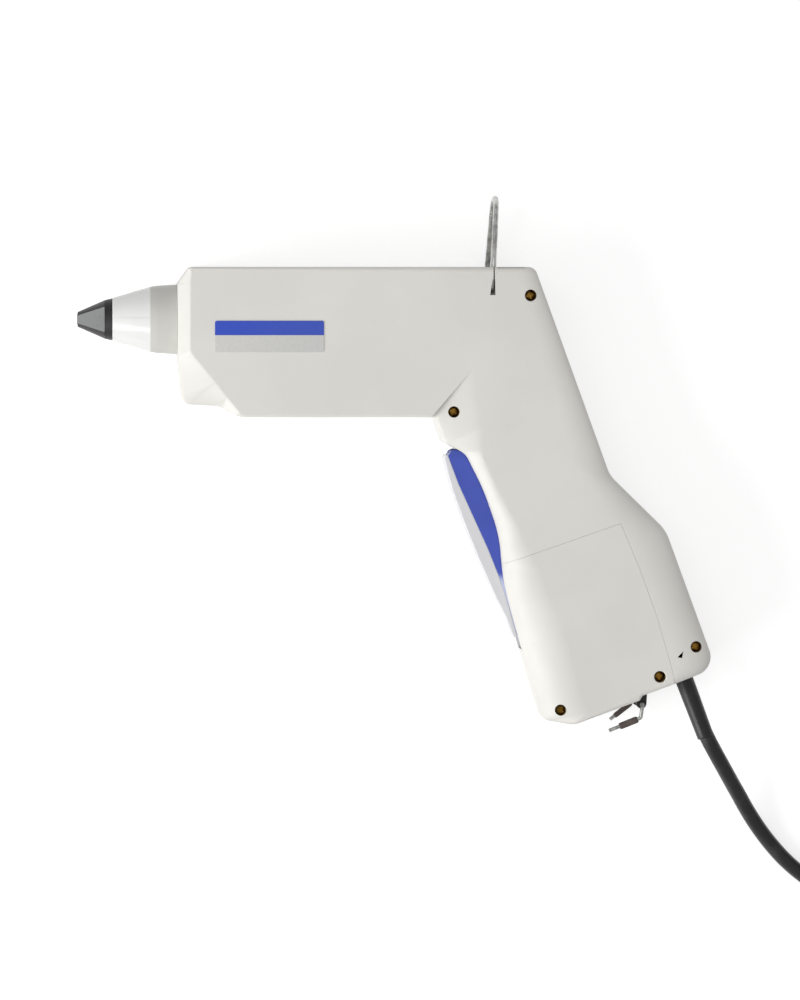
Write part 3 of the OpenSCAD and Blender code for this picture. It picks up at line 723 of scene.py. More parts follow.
@dataclass
class NodeTree:
    """A Geometry Nodes tree under construction."""

    name: str
    group: bpy.types.NodeTree = field(init=False)

    def __post_init__(self) -> None:
        """Start the tree with its geometry in and out."""
        self.group = bpy.data.node_groups.new(self.name, "GeometryNodeTree")
        for way in ("INPUT", "OUTPUT"):
            self.group.interface.new_socket("Geometry", in_out=way, socket_type="NodeSocketGeometry")
        self.entry = self.group.nodes.new("NodeGroupInput")
        self.exit = self.group.nodes.new("NodeGroupOutput")

    def size(self, name: str, default: float) -> Socket:
        """Add a named size to the tree's inputs and return its output inside.

        Args:
            name: Name of the size.
            default: Its value in metres where none is given.

        Returns:
            The size's output inside the tree.
        """
        socket = self.group.interface.new_socket(name, in_out="INPUT", socket_type="NodeSocketFloat")
        socket.default_value = default
        return self.entry.outputs[name]

    def taken(self, name: str, kind: str) -> Socket:
        """Add a named input for an object or a material and return its output inside."""
        self.group.interface.new_socket(name, in_out="INPUT", socket_type="NodeSocket" + kind)
        return self.entry.outputs[name]

    def add(self, kind: str, links: dict, **settings: object) -> bpy.types.Node:
        """Add a node with its inputs linked or set."""
        return add_node(self.group, kind, links, **settings)

    def close(self, geometry: Socket, finish: Socket) -> None:
        """End the tree with real geometry that has its finish.

        Args:
            geometry: What the tree has made.
            finish: Output that holds the finish.
        """
        real = self.add("GeometryNodeRealizeInstances", {"Geometry": geometry})
        dressed = self.add("GeometryNodeSetMaterial", {"Geometry": real.outputs[0], "Material": finish})
        self.group.links.new(dressed.outputs[0], self.exit.inputs[0])

    def run(self, base: Piece, name: str, **values: object) -> Piece:
        """Run the tree on an object.

        Args:
            base: The object whose geometry goes in, which is removed.
            name: Name of the result.
            values: The tree's inputs, with underscores for spaces.

        Returns:
            A plain mesh object.
        """
        step = base.modifiers.new(self.name, "NODES")
        step.node_group = self.group
        for item in self.group.interface.items_tree:
            key = item.name.replace(" ", "_")
            if item.in_out == "INPUT" and key in values:
                step[item.identifier] = values[key]
        return settled(base, name)


def wire_tree() -> NodeTree:
    """Sweep a round wire along an edge path, each bend with the radius its point holds.

    Returns:
        The tree, with a size for the wire and its finish as inputs.
    """
    tree = NodeTree("bent_wire")
    radius = tree.size("Wire Radius", 0.001)
    finish = tree.taken("Finish", "Material")
    bend = tree.add("GeometryNodeInputNamedAttribute", {"Name": "bend"}, data_type="FLOAT")
    path = tree.add("GeometryNodeMeshToCurve", {"Mesh": tree.entry.outputs["Geometry"]})
    soft = tree.add("GeometryNodeFilletCurve", {"Curve": path.outputs[0], "Radius": bend.outputs[0],
                                                "Limit Radius": True}, mode="POLY")
    soft.inputs["Count"].default_value = BEND_STEPS
    ring = tree.add("GeometryNodeCurvePrimitiveCircle", {"Radius": radius, "Resolution": WIRE_SIDES})
    swept = tree.add("GeometryNodeCurveToMesh", {"Curve": soft.outputs[0], "Profile Curve": ring.outputs[0],
                                                 "Fill Caps": True})
    tree.close(swept.outputs[0], finish)
    return tree


def points_object(name: str, points: Sequence[Point3], edges: Sequence[tuple[int, int]], held: str,
                  values: Iterable[float]) -> Piece:
    """Points for a tree to work on.

    Args:
        name: Name of the object.
        points: The points in millimetres.
        edges: Pairs of points that are joined.
        held: Name of the number that each point holds.
        values: That number at each point.

    Returns:
        The object, which a tree's run replaces.
    """
    mesh = bpy.data.meshes.new(name)
    mesh.from_pydata([tuple(c * MM for c in p) for p in points], edges, [])
    for item, value in zip(mesh.attributes.new(held, "FLOAT", "POINT").data, values):
        item.value = value
    return new_object(name, mesh)


def path_object(name: str, points: Sequence[Point3], bends: Sequence[float]) -> Piece:
    """An edge path in millimetres, with a bend radius at each point."""
    edges = [(i, i + 1) for i in range(len(points) - 1)]
    return points_object(name, points, edges, "bend", [r * MM for r in bends])


def copies_tree() -> NodeTree:
    """Put a copy of a piece on each point, turned by the angle that the point holds.

    Returns:
        The tree, with the piece and its finish as inputs.
    """
    tree = NodeTree("fastener_set")
    copied = tree.taken("Piece", "Object")
    finish = tree.taken("Finish", "Material")
    turn = tree.add("GeometryNodeInputNamedAttribute", {"Name": "turn"}, data_type="FLOAT")
    angles = tree.add("ShaderNodeCombineXYZ", {"Z": turn.outputs[0]})
    piece = tree.add("GeometryNodeObjectInfo", {"Object": copied})
    spots = tree.add("GeometryNodeMeshToPoints", {"Mesh": tree.entry.outputs["Geometry"]})
    placed = tree.add("GeometryNodeInstanceOnPoints", {"Points": spots.outputs[0],
                                                       "Instance": piece.outputs["Geometry"],
                                                       "Rotation": angles.outputs[0]})
    tree.close(placed.outputs[0], finish)
    return tree


def copies(name: str, piece: Piece, spots: Sequence[Point3], turns: Sequence[float],
           finish: bpy.types.Material, tree: NodeTree) -> Piece:
    """Repeat a piece at several places.

    Args:
        name: Name of the result.
        piece: The piece, which is removed.
        spots: Places in millimetres.
        turns: Angle about Z at each place, in degrees.
        finish: Material of the copies.
        tree: The tree that copies_tree made.

    Returns:
        One plain mesh that holds all the copies.
    """
    base = points_object(name + "_spots", spots, [], "turn", map(math.radians, turns))
    made = tree.run(base, name, Piece=piece, Finish=finish)
    discard([piece])
    return made


# ---- studio


@dataclass
class Studio:
    """The camera above the gun, the pale floor and backdrop, and the soft lamps."""

    view: Point3 = (16.8, -75.8, 35.0)
    view_width: float = 336.0
    distance: float = 2500.0
    lean: Point2 = (3.0, 2.0)
    sensor: float = 36.0
    bench_size: float = 3000.0
    bench_glow: float = 0.62
    sky: float = 0.5

    def camera(self) -> None:
        """Look down at the gun with a slight lean, the barrel's top towards the top of the frame."""
        made = new_object("camera", bpy.data.cameras.new("camera"))
        made.data.sensor_fit, made.data.sensor_width = "HORIZONTAL", self.sensor
        made.data.lens = self.sensor * self.distance / self.view_width
        made.data.clip_start, made.data.clip_end = 0.05, 30
        left, top = (math.tan(math.radians(a)) for a in self.lean)
        back = Vector((-left, top, 1)).normalized()
        right = Vector((0, 1, 0)).cross(back).normalized()
        up = back.cross(right)
        turn = Matrix((right, up, back)).transposed().to_4x4()
        made.matrix_world = Matrix.Translation((Vector(self.view) + back * self.distance) * MM) @ turn
        bpy.context.scene.camera = made

    def floor(self) -> None:
        """A pale bench, white where the camera sees it unshaded, that keeps the gun's shadow."""
        size = self.bench_size
        bench = prism("bench", [(-size, -size), (size, -size), (size, size), (-size, size)], -20, 0)
        tree = ShaderTree("bench_white")
        tree.set(Roughness=0.95, Specular_IOR_Level=0.1)
        tree.feed("Base Color", tree.blend(tree.noise(9.0), (0.78, 0.78, 0.78), (0.8, 0.8, 0.8)))
        path = tree.node("LightPath", {}).outputs
        seen = tree.math("MAXIMUM", path["Is Camera Ray"], path["Is Glossy Ray"])
        tree.set(Emission_Color=(1, 1, 1, 1))
        tree.feed("Emission Strength", tree.math("MULTIPLY", seen, self.bench_glow))
        bench.data.materials.append(tree.material)

    def lamp(self, name: str, at: Point3, aim: Point3, size: Point2, power: float) -> None:
        """Add a soft rectangular lamp.

        Args:
            name: Name of the lamp.
            at: Its place in metres.
            aim: The point it faces.
            size: Its width and height in metres.
            power: Its power in watts.
        """
        data = bpy.data.lights.new(name, "AREA")
        data.shape, data.size, data.size_y, data.energy = "RECTANGLE", size[0], size[1], power
        made = new_object(name, data)
        made.location = at
        made.rotation_euler = (Vector(aim) - Vector(at)).to_track_quat("-Z", "Y").to_euler()

    def world(self) -> None:
        """Even sky light, white where the camera sees it."""
        world = bpy.data.worlds.new("studio")
        world.use_nodes = True
        bpy.context.scene.world = world
        tree = world.node_tree
        path = add_node(tree, "ShaderNodeLightPath", {}).outputs
        seen = add_node(tree, "ShaderNodeMath", {0: path["Is Camera Ray"], 1: path["Is Transmission Ray"]},
                        operation="MAXIMUM")
        strength = add_node(tree, "ShaderNodeMapRange", {"Value": seen.outputs[0], "To Min": self.sky,
                                                         "To Max": 1.0})
        sky = tree.nodes["Background"].inputs
        tree.links.new(strength.outputs[0], sky["Strength"])
        sky["Color"].default_value = (1, 1, 1, 1)

    def build(self) -> None:
        """Set up the whole studio."""
        bpy.context.scene.view_settings.view_transform = "Standard"
        self.camera()
        self.floor()
        self.lamp("window", (-1.11, -0.58, 0.64), (0.03, -0.07, 0.0), (1.0, 1.0), 16.0)
        self.lamp("overhead", (-0.25, 0.4, 1.4), (0.03, -0.08, 0.0), (0.9, 0.9), 3.0)
        self.world()


# ---- mains lead


@dataclass
class Lead:
    """The mains lead: boot, cord with its coil, tie and plug."""

    diameter: float = 6.5
    exit: Point3 = LEAD_EXIT
    tilt: float = LEAD_TILT
    coil_at: Point2 = (252.0, -209.7)
    coil_r: float = 37.0
    coil_start: int = -90
    coil_step: int = 15
    shift_from: int = -100
    shift_over: float = 100.0
    climb_over: float = 140.0
    roll_from: int = -96
    roll_rate: float = 1.6
    tie_turn: float = 120.0
    tie_half: float = 4.0
    plug_at: Point3 = (296.2, -160.0, 6.9)
    plug_half: float = 6.75
    plug_ribs: int = 5
    jacket: SoftRubber = SoftRubber("lead_rubber", (0.085, 0.085, 0.09), (0.16, 0.16, 0.165), 0.42, 0.004)
    band: SoftRubber = SoftRubber("tie_rubber", (0.16, 0.16, 0.17), (0.22, 0.22, 0.23), 0.6)

    @property
    def bench(self) -> float:
        """Height of the cord's axis where it lies on the bench."""
        return self.diameter / 2 + 0.05

    def eased(self, share: float) -> float:
        """A share held between 0 and 1 and made to start and end gently."""
        t = min(1.0, max(0.0, share))
        return t * t * (3 - 2 * t)

    def round_coil(self, degrees: float, radius: float, z: float) -> Point3:
        """A point round the coil's middle."""
        a = math.radians(degrees)
        return (self.coil_at[0] + radius * math.cos(a), self.coil_at[1] + radius * math.sin(a), z)

    def along(self, distance: float) -> Point3:
        """A point on the exit's straight line, at a distance past the exit."""
        a = math.radians(self.tilt)
        return (self.exit[0] + distance * math.sin(a), self.exit[1] - distance * math.cos(a), MID)

    def first_run(self) -> list[Point3]:
        """The way out of the handle, down to the bench and up to the coil.

        Returns:
            Points of the cord's axis.
        """
        low = self.bench
        return [self.along(-28), self.along(-20), self.along(-10), self.exit, (141.5, -161.6, MID),
                (144.8, -170.1, MID), (148.2, -177.7, 21.6), (151.8, -184.3, 20), (155.3, -190.3, 17.2),
                (159, -196.6, 13.6), (163, -203.3, 9.8), (167.2, -210.4, 6.6), (172, -217.6, 4.4),
                (177.4, -224.6, 3.4), (183.5, -231.3, low), (191, -237.7, low), (200, -243.2, low),
                (210.5, -248, low), (223, -251.6, low), (237, -253.7, low)]

    def coil(self) -> list[Point3]:
        """Six turns and a quarter: three inwards on the bench, three outwards on top of them.

        Each turn shifts by one diameter in the same sector. The inner turn climbs just before it,
        and the last quarter rolls off the outer turn onto the bench.

        Returns:
            Points of the cord's axis.
        """
        d = self.diameter + 0.05
        radii = [self.coil_r + d * k for k in (1, 0, -1, -1, 0, 1)]
        last = len(radii) - 1
        points = []
        for degrees in range(self.coil_start, self.coil_start + len(radii) * 360, self.coil_step):
            turn, rest = divmod(degrees - self.shift_from, 360)
            shift = self.eased((rest - 360 + self.shift_over) / self.shift_over)
            r = radii[turn] + (radii[min(turn + 1, last)] - radii[turn]) * shift
            climbed = (rest - 360 + self.shift_over + self.climb_over) / self.climb_over
            climb = self.eased(climbed) if turn == 2 else float(turn > 2)
            points.append(self.round_coil(degrees, r, self.bench + d * climb))
        return points

    def last_run(self) -> list[Point3]:
        """Off the coil's outer turn, along the bench beside it and into the plug.

        Returns:
            Points of the cord's axis.
        """
        points = []
        for degrees in range(-88, -10, 13):
            roll = math.radians(min(90.0, (degrees - self.roll_from) * self.roll_rate))
            r = self.coil_r + self.diameter + (self.diameter + 0.1) * math.sin(roll)
            points.append(self.round_coil(degrees, r, self.bench + self.diameter * math.cos(roll)))
        x, y, z = self.plug_at
        return points + [(self.coil_at[0] + 49.6, -207, self.bench), (self.coil_at[0] + 47.4, -196, 4.5),
                         (x + 0.6, -184, z - 0.2), (x, -174, z), (x, -166, z)]

    def cord(self) -> tuple[Piece, float]:
        """Make the cord as one open spline.

        Returns:
            The curve object and the cord's length in metres.
        """
        way = spline(self.first_run() + self.coil() + self.last_run(), 4)
        data = bpy.data.curves.new("cord", "CURVE")
        data.dimensions = "3D"
        data.bevel_depth = self.diameter / 2 * MM
        data.bevel_resolution = 5
        data.use_fill_caps = True
        line = data.splines.new("POLY")
        line.points.add(len(way) - 1)
        for point, place in zip(line.points, way):
            point.co = (place[0] * MM, place[1] * MM, place[2] * MM, 1)
        line.use_smooth = True
        return new_object("mains_cord", data), sum(math.dist(a, b) for a, b in zip(way, way[1:])) * MM

    def boot(self) -> Piece:
        """The slim tapered strain relief, with its collar inside the casing.

        Returns:
            The boot.
        """
        inner = self.diameter / 2 + 0.02
        profile = [(0, inner, 0), (0, 6, 0.3), (2.5, 6, 0.3), (2.5, 3.85, 0.1), (10, 3.85, 3),
                   (35.2, self.diameter / 2 + 0.28, 0.6), (36, inner, 0)]
        a = math.radians(self.tilt)
        way = (math.sin(a), -math.cos(a), 0)
        return smooth(spun("cord_boot_piece", outline(profile, 3), self.along(-10), way), 38)

    def tie(self) -> Piece:
        """The flat band round the coil's turns.

        Returns:
            The tie.
        """
        wide, high = 1.5 * self.diameter + 1.0, 2 * self.diameter + 0.7
        sizes = ((wide, 0.25, high + 0.5, 3.2), (wide - 0.9, 0.3, high - 0.3, 3.0))
        ring, hole = (outline([(-w, low, r), (w, low, r), (w, top, r), (-w, top, r)], 8)
                      for w, low, top, r in sizes)
        turn = math.radians(self.tie_turn)
        along = Vector((math.cos(turn), math.sin(turn), 0))
        across = Vector((-math.sin(turn), math.cos(turn), 0))
        centre = Vector((self.coil_at[0], self.coil_at[1], 0)) + along * self.coil_r
        shell = []
        for side in (-self.tie_half, self.tie_half):
            for loop in (ring, hole):
                shell += [tuple(centre + along * u + across * side + Vector((0, 0, v))) for u, v in loop]
        count, faces = len(ring), []
        for i in range(count):
            j = (i + 1) % count
            faces += [(a * count + i, a * count + j, b * count + j, b * count + i)
                      for a, b in ((0, 2), (3, 1), (1, 0), (2, 3))]
        return smooth(solid("cord_tie_piece", shell, faces), 50)

    def plug(self) -> Piece:
        """The moulded plug with its ribbed, tapered tail.

        Returns:
            The plug without its pins.
        """
        x, y, z = self.plug_at
        edge = outline([(x + u, y + v, r) for u, v, r in [
            (-5, 0, 2), (5, 0, 2), (13.5, 9, 5), (17.4, 18, 3), (17.4, 31.9, 1.5), (-17.4, 31.9, 1.5),
            (-17.4, 18, 3), (-13.5, 9, 5)]], 8)
        body = bevelled(prism("plug_form", edge, z - self.plug_half, z + self.plug_half), 2.2, 5, 40)
        profile = [(-2, 0, 0), (-2, 4.9, 0.5), (3, 4.8, 0.5)]
        for k in range(self.plug_ribs):
            d = 3.4 + 3.5 * k
            r = 4.7 - 0.16 * k
            profile += [(d, r, 0.3), (d + 2.3, r - 0.1, 0.3),
                        (d + 2.5, r - 0.5, 0.1), (d + 3.3, r - 0.5, 0.1)]
        profile += [(21.8, self.diameter / 2 + 0.4, 0.4), (21.9, 0, 0)]
        rounded_profile = [(d, max(r, 0.0)) for d, r in outline(profile, 3)]
        tail = spun("plug_tail", rounded_profile, (x, y, z), (0, -1, 0), 48, False)
        made = carved("plug_piece", body, [(Cut.JOIN, [tail])])
        return smooth(made, 40)

    def build(self) -> None:
        """Make the lead's pieces and say what they are."""
        cord, length = self.cord()
        place(dress(cord, self.jacket), "casing", "lead_rubber", "cord", "cord_coil")
        boot, tie, plug = self.boot(), self.tie(), self.plug()
        for node, piece, finish in (("cord_boot", boot, self.jacket), ("cord_tie", tie, self.band),
                                    ("plug_body", plug, self.jacket)):
            place(dress(piece, finish), "casing", "lead_rubber", node)
        log.info("lead: %.3f m with its coil, tie and plug", length)


# ---- casing


@dataclass
class CasingForm:
    """The casing's form: corners, the step to the side faces, and how both are blended.

    Each corner is x, y and radius of the widest outline, x, y and radius of the flat side face,
    the depth between the two, and how round that step is, from 0, a flat chamfer, to 1, a quarter
    of an ellipse.
    """

    wall: float = 2.4
    arc_steps: int = 9
    levels: int = 18
    parting: float = 0.22
    edge: float = 0.7
    edge_levels: int = 3
    hollow_levels: int = 4
    longest: float = 7.0
    corners: tuple = (
        (-71.5, 22, 2, -70.5, 21, 1, 1.2, 1),
        (-76.5, 15, 2, -71.5, 14.5, 2, 5, 0),
        (-76.5, -16, 3, -71.5, -13.5, 3, 5, 0),
        (-74.4, -35.4, 3.5, -61, -26.2, 3, 5, 0),
        (-59.5, -36.2, 11, -56, -32.4, 3, 5, 0.2),
        (-50.8, -40.9, 10, -49.5, -39.6, 2, 1.5, 1),
        (29.3, -41, 0.2, 30.6, -39.6, 0.3, 1.5, 1),
        (29.6, -41.02, 0.2, 47.4, -20.2, 0.6, 3.6, 0.6),
        (31.6, -41.05, 1, 47.8, -20.9, 0.6, 3.5, 0.6),
        (35.2, -51.5, 3, 50.8, -45, 8, 4, 0.6),
        (44.5, -56.5, 8, 51.2, -57.5, 12, 5, 0.6),
        (52, -71.5, 90, 57.6, -70.8, 60, 6, 1),
        (58.5, -90, 60, 67.5, -89, 60, 8, 1),
        (60.5, -111, 90, 76.5, -108, 60, 11, 1),
        (67.6, -137, 60, 87, -135, 40, 12, 1),
        (77.4, -168.9, 4, 95, -163, 5, 11, 1),
        (90, -170.1, 6, 97.5, -166, 3, 2, 1),
        (117.3, -160, 0.8, 116.5, -158, 1, 1.5, 1),
        (118.5, -158, 1, 118.5, -156, 1, 1.5, 1),
        (132, -153.1, 2, 131, -151.4, 2, 1.5, 1),
        (149.8, -146.8, 8, 134.5, -144.5, 6, 5, 1),
        (128.4, -88.5, 18, 112, -92, 16, 4.5, 1),
        (104.8, -65.5, 14, 90, -61, 14, 3.6, 1),
        (72.9, 22, 4, 66.5, 19.5, 2, 1.8, 1))

    def inset(self, distance: float, at: int) -> list[Point3]:
        """An outline's corners moved inwards.

        Args:
            distance: How far they move.
            at: Where the outline's x, y and radius start in each corner's row.

        Returns:
            The new corners as x, y and radius.
        """
        spots = moved([c[at:at + 2] for c in self.corners], distance)
        return [(*spot, max(c[at + 2] - distance, 0.2)) for spot, c in zip(spots, self.corners)]

    def arcs(self, *outlines: tuple[float, int]) -> list[list[list[Point2]]]:
        """The rounded corners of outlines, each a distance inwards and where its x starts in a row."""
        return [rounded(self.inset(*which), self.arc_steps) for which in outlines]

    def stations(self) -> list[tuple]:
        """Points round the casing, each with what its step to the side face needs.

        The straight stretches between two corners are divided, and depth and roundness change
        evenly along them.

        Returns:
            For each station the widest point, the one at the halves' seam, the one on the side
            face's edge, the one further in, the depth and the roundness.
        """
        lines = self.arcs((0, 0), (self.parting, 0), (0, 3), (self.edge, 3))
        made = []
        for i, here in enumerate(self.corners):
            j = (i + 1) % len(self.corners)
            made += [(*spots, here[6], here[7]) for spots in zip(*(line[i] for line in lines))]
            ends = [(line[i][-1], line[j][0]) for line in lines]
            parts = int(max(math.dist(*end) for end in ends) // self.longest)
            for k in range(1, parts):
                t = k / parts
                made.append((*(between(a, b, t) for a, b in ends),
                             *between(here[6:], self.corners[j][6:], t)))
        return made

    def step(self, station: tuple, t: float) -> Point3:
        """One point of the step from the widest outline, t 0, to the side face, t 1.

        A flat chamfer gets a small rounding at both of its edges.

        Args:
            station: One of the stations.
            t: Share of the way, 0 to 1.

        Returns:
            The point.
        """
        outer, _, inner, further, depth, roundness = station
        base, foot, face = CASING_W - depth, Vector((*outer, 0)), Vector((*inner, 0))
        foot.z, face.z = base, CASING_W
        share = min(0.2, self.edge / (face - foot).length)
        low = self.edge_levels / self.levels
        high = 1 - low
        if t < low:
            q = t / low
            below = foot - Vector((0, 0, min(self.edge, 0.3 * depth)))
            flat = below * (1 - q) ** 2 + foot * (2 * q * (1 - q)) + foot.lerp(face, share) * q * q
        elif t > high:
            q = (t - high) / (1 - high)
            past = Vector((*further, CASING_W))
            flat = face.lerp(foot, share) * (1 - q) ** 2 + face * (2 * q * (1 - q)) + past * q * q
        else:
            flat = foot.lerp(face, share + (1 - 2 * share) * (t - low) / (high - low))
        a = t * math.pi / 2
        arched = foot.lerp(face, 1 - math.cos(a))
        arched.z = base + depth * math.sin(a)
        return tuple(flat.lerp(arched, roundness))

    def outside(self, name: str) -> Piece:
        """The upper half's outer form, with a fine groove where the halves meet.

        Args:
            name: Name of the piece.

        Returns:
            The piece.
        """
        stations = self.stations()
        rings = [[(*s[1], MID) for s in stations], [(*s[0], MID + self.parting) for s in stations]]
        rings += [[self.step(s, k / self.levels) for s in stations] for k in range(self.levels + 1)]
        return lofted(name, rings)

    def inside(self, name: str) -> Piece:
        """The upper half's hollow.

        Args:
            name: Name of the piece.

        Returns:
            The piece.
        """
        lines = self.arcs((0, 0), (0, 3), (self.wall, 0))
        rings = [[] for _ in range(self.hollow_levels + 1)]
        for i, here in enumerate(self.corners):
            for o, n, w in zip(*(line[i] for line in lines)):
                v = (n[0] - o[0], n[1] - o[1])
                span = math.hypot(*v)
                if span <= 1.8 * self.wall:
                    n = (w[0] + 0.1 * v[0], w[1] + 0.1 * v[1])
                rings[0].append((*w, MID - 1))
                for k in range(self.hollow_levels):
                    t = k / (self.hollow_levels - 1)
                    a = t * math.pi / 2
                    s = t + (1 - math.cos(a) - t) * here[7]
                    h = t + (math.sin(a) - t) * here[7]
                    depth = max(0.3, here[6] * (1 - self.wall / max(self.wall, span)))
                    rings[k + 1].append((*between(w, n, s), CASING_W - self.wall - depth * (1 - h)))
        return lofted(name, rings)


@dataclass
class Casing:
    """The two halves of the casing and the handle's cover, split along their seams."""

    form: CasingForm = field(default_factory=CasingForm)
    gap: float = 0.08
    screws: tuple[Point3, ...] = CASING_SCREWS
    cover_screws: tuple[Point3, ...] = COVER_SCREWS
    bail_at: Point2 = BAIL_AT
    bail_leg: float = BAIL_LEG
    bail_side: tuple[Point2, ...] = ((54.1, 10.2), (56.4, 10.2), (56.2, 16.8), (55.1, 16.8))
    trigger_pin: tuple[float, ...] = (*TRIGGER_PIN, 8.6, 11.4)
    rocker_pin: tuple[float, ...] = (52.1, -43.5, 1.5, 7.6)
    step_walls: tuple = (
        (((29.3, -40.8), (33.5, -36.1), (31.7, -34.5), (27.5, -39.2)), 37.4),
        (((33, -36.6), (47.1, -20.6), (45.3, -19), (31.2, -35)), 38.0))
    well_r: float = 2.4
    well_depth: float = 7.3
    boss_gap: float = 0.15
    boss_r: float = 4.2
    pin_boss_r: float = 3.6
    pin_hole_r: float = 2.0
    shank_loose: float = 1.65
    shank_tight: float = 1.55
    shank_end: float = 5.0
    seam: tuple[Point2, ...] = ((40, -109.6), (71, -98.7), (109, -85.5), (117.2, -104.8), (124.3, -124.5),
                                (129.8, -143.4), (132.5, -154), (128, -185), (40, -185))
    trigger_gap: tuple[Point2, ...] = ((25, -53.2), (37.5, -52.8), (44, -46.5), (58, -45.5), (80, -110),
                                       (80, -135), (71.5, -139.2), (60, -139.2), (30, -80))
    drain: tuple[Point2, ...] = ((133, -141.8), (135, -142.2), (135.6, -139.2))
    lead: Point3 = LEAD_EXIT
    lead_tilt: float = LEAD_TILT
    lead_r: float = 4.1
    finish: MouldedPlastic = MouldedPlastic("casing_grey", (0.865, 0.858, 0.835), 0.5, dirt=0.006)
    # painted shade: a dark brown copy of the casing plastic stands in for the shadow inside the screw wells
    painted_well_shade: MouldedPlastic = MouldedPlastic("casing_recess", (0.5, 0.4, 0.22), 0.8)

    def well(self, at: Point3) -> Piece:
        """A screw's well, with a small flare at its mouth.

        Args:
            at: The screw's place, and the depth that its boss ends at.

        Returns:
            The tool that cuts the well.
        """
        top = CASING_W + 0.02
        r = self.well_r
        profile = [(-self.well_depth, 0), (-self.well_depth, r - 0.1), (-0.6, r), (-0.25, r + 0.08),
                   (-0.05, r + 0.28), (0.0, r + 0.4), (1.0, r + 0.4), (1.0, 0)]
        return spun("well", profile, (at[0], at[1], top), (0, 0, 1), 48, False)

    def paint_well_shade(self, piece: Piece) -> None:
        """Give the walls of the screws' wells their own darker finish, painted shade for the shadow that
        fills the deep wells.

        Args:
            piece: The moulding, dressed with both finishes.
        """
        reach = (self.well_r + 0.03) * MM
        spots = [Vector(p[:2]) * MM for p in (*self.screws, *self.cover_screws)]

        def in_well(face: bpy.types.MeshPolygon) -> bool:
            """Whether all of a face's corners are within one well of the upper half.

            Args:
                face: A face of the moulding.

            Returns:
                True for a face of a well.
            """
            ends = [piece.data.vertices[i].co.xy for i in face.vertices]
            return face.center.z > MID * MM and any(all((end - spot).length < reach for end in ends)
                                                    for spot in spots)

        # the faces inside the wells take the painted shade
        second_finish(piece, in_well)

    def joins(self, screws: Sequence[Point3], pins: Sequence[tuple]) -> list[Piece]:
        """Bosses for screws and pins, the bail's pocket and the step's wall, in the upper half.

        Args:
            screws: Screws with a boss, each x, y and the depth of its end.
            pins: Pins with a boss, each x, y and the depths of its end and start.

        Returns:
            The solids to join.
        """
        z = CASING_W - self.bail_leg
        made = [post("boss", (x, y), MID + self.boss_gap, CASING_W - low, self.boss_r)
                for x, y, low in screws]
        made += [post("boss", (x, y), CASING_W - start, CASING_W - low, self.pin_boss_r)
                 for x, y, low, start in pins]
        made += [prism("step_wall", shape, low, CASING_W - 1.6) for shape, low in self.step_walls]
        return made + [block("pocket", (50.6, 5.4, z - 4.5), (70.4, 20.5, CASING_W - 1.3))]

    def cuts(self) -> list[Piece]:
        """What is cut from both halves, in the upper half.

        Returns:
            The solids to take away.
        """
        z = CASING_W - self.bail_leg
        a = math.radians(self.lead_tilt)
        way = Vector((math.sin(a), -math.cos(a), 0)) * 8
        lead = Vector(self.lead)
        return [prism("trigger_gap", self.trigger_gap, MID - 2, MID + 10.6),
                block("bail_floor", (52.6, 7.4, z - 2.5), (69, 24, z + 1.5)),
                block("bail_notch", (57.4, 21.4, z + 0.01), (68.8, 25, CASING_W + 1)),
                prism("bail_side", self.bail_side, z + 0.02, CASING_W + 2),
                block("bail_slit", (55.5, 15.9, z + 0.03), (56.1, 26, CASING_W + 3)),
                post("bail_hole", self.bail_at, CASING_W - 10, CASING_W - 4.1, 1.3),
                rod("front_bore", (-90, 0, MID), (-70, 0, MID), 13, 72),
                rod("back_bore", (70, 0, MID), (100, 0, MID), 10.3, 72),
                rod("lead_bore", tuple(lead - way), tuple(lead + way), self.lead_r)]

    def seats(self, screws: Sequence[Point3]) -> list[Piece]:
        """The wells of screws and the holes that they pass through."""
        return [self.well(p) for p in screws] + self.shanks(screws, self.shank_loose)

    def shanks(self, screws: Sequence[Point3], radius: float) -> list[Piece]:
        """The holes that screws pass through or bite into, in the upper half."""
        return [post("shank", p[:2], MID - 1, CASING_W - self.shank_end, radius) for p in screws]

    def half(self, name: str, screws: Sequence[Point3], pins: Sequence[tuple],
             more: Sequence[Piece], keep: Sequence[Piece] = ()) -> Piece:
        """One moulding made from the upper half.

        Args:
            name: Name of the piece.
            screws: Screws with a boss in it.
            pins: Pins with a boss in it, each x, y and the depths of the boss's end and start.
            more: Further cuts.
            keep: A solid that bounds the moulding, or none.

        Returns:
            The moulding.
        """
        holes = [post("pin", (x, y), CASING_W - start - 1, CASING_W - max(low + 0.6, 2.9), self.pin_hole_r)
                 for x, y, low, start in pins]
        steps = [(Cut.TAKE, [self.form.inside("hollow")]), (Cut.JOIN, self.joins(screws, pins)),
                 (Cut.TAKE, self.cuts() + holes + list(more))]
        if keep:
            steps.append((Cut.KEEP, keep))
        return smooth(carved(name, self.form.outside("form"), steps), 30)

    def mouldings(self) -> dict[str, Piece]:
        """Make the three mouldings.

        Returns:
            The CAD node that each stands for, and the piece.
        """
        trigger, rocker = self.trigger_pin, self.rocker_pin
        left = self.half("left_moulding", self.screws, (trigger, rocker), self.seats(self.screws) + [
            prism("cover_gap", self.seam, MID - 3, CASING_W + 4), prism("drain", self.drain, -5, 60)])
        bound = prism("cover_bound", moved(self.seam, -self.gap), MID - 4, CASING_W + 5)
        cover = self.half("cover_moulding", self.cover_screws, (trigger,), self.seats(self.cover_screws),
                          [bound])
        everything = (*self.screws, *self.cover_screws)
        holes = self.shanks(everything, self.shank_tight)
        right = mirrored(self.half("right_moulding", everything, (trigger, rocker), holes))
        return {"left_shell": left, "handle_cover": cover, "right_shell": smooth(right, 30)}

    def build(self) -> None:
        """Make the mouldings and dress them."""
        for node, piece in self.mouldings().items():
            self.paint_well_shade(dress(piece, self.finish, self.painted_well_shade))
            place(piece, "casing", "casing_plastic", node)


# ---- nozzle


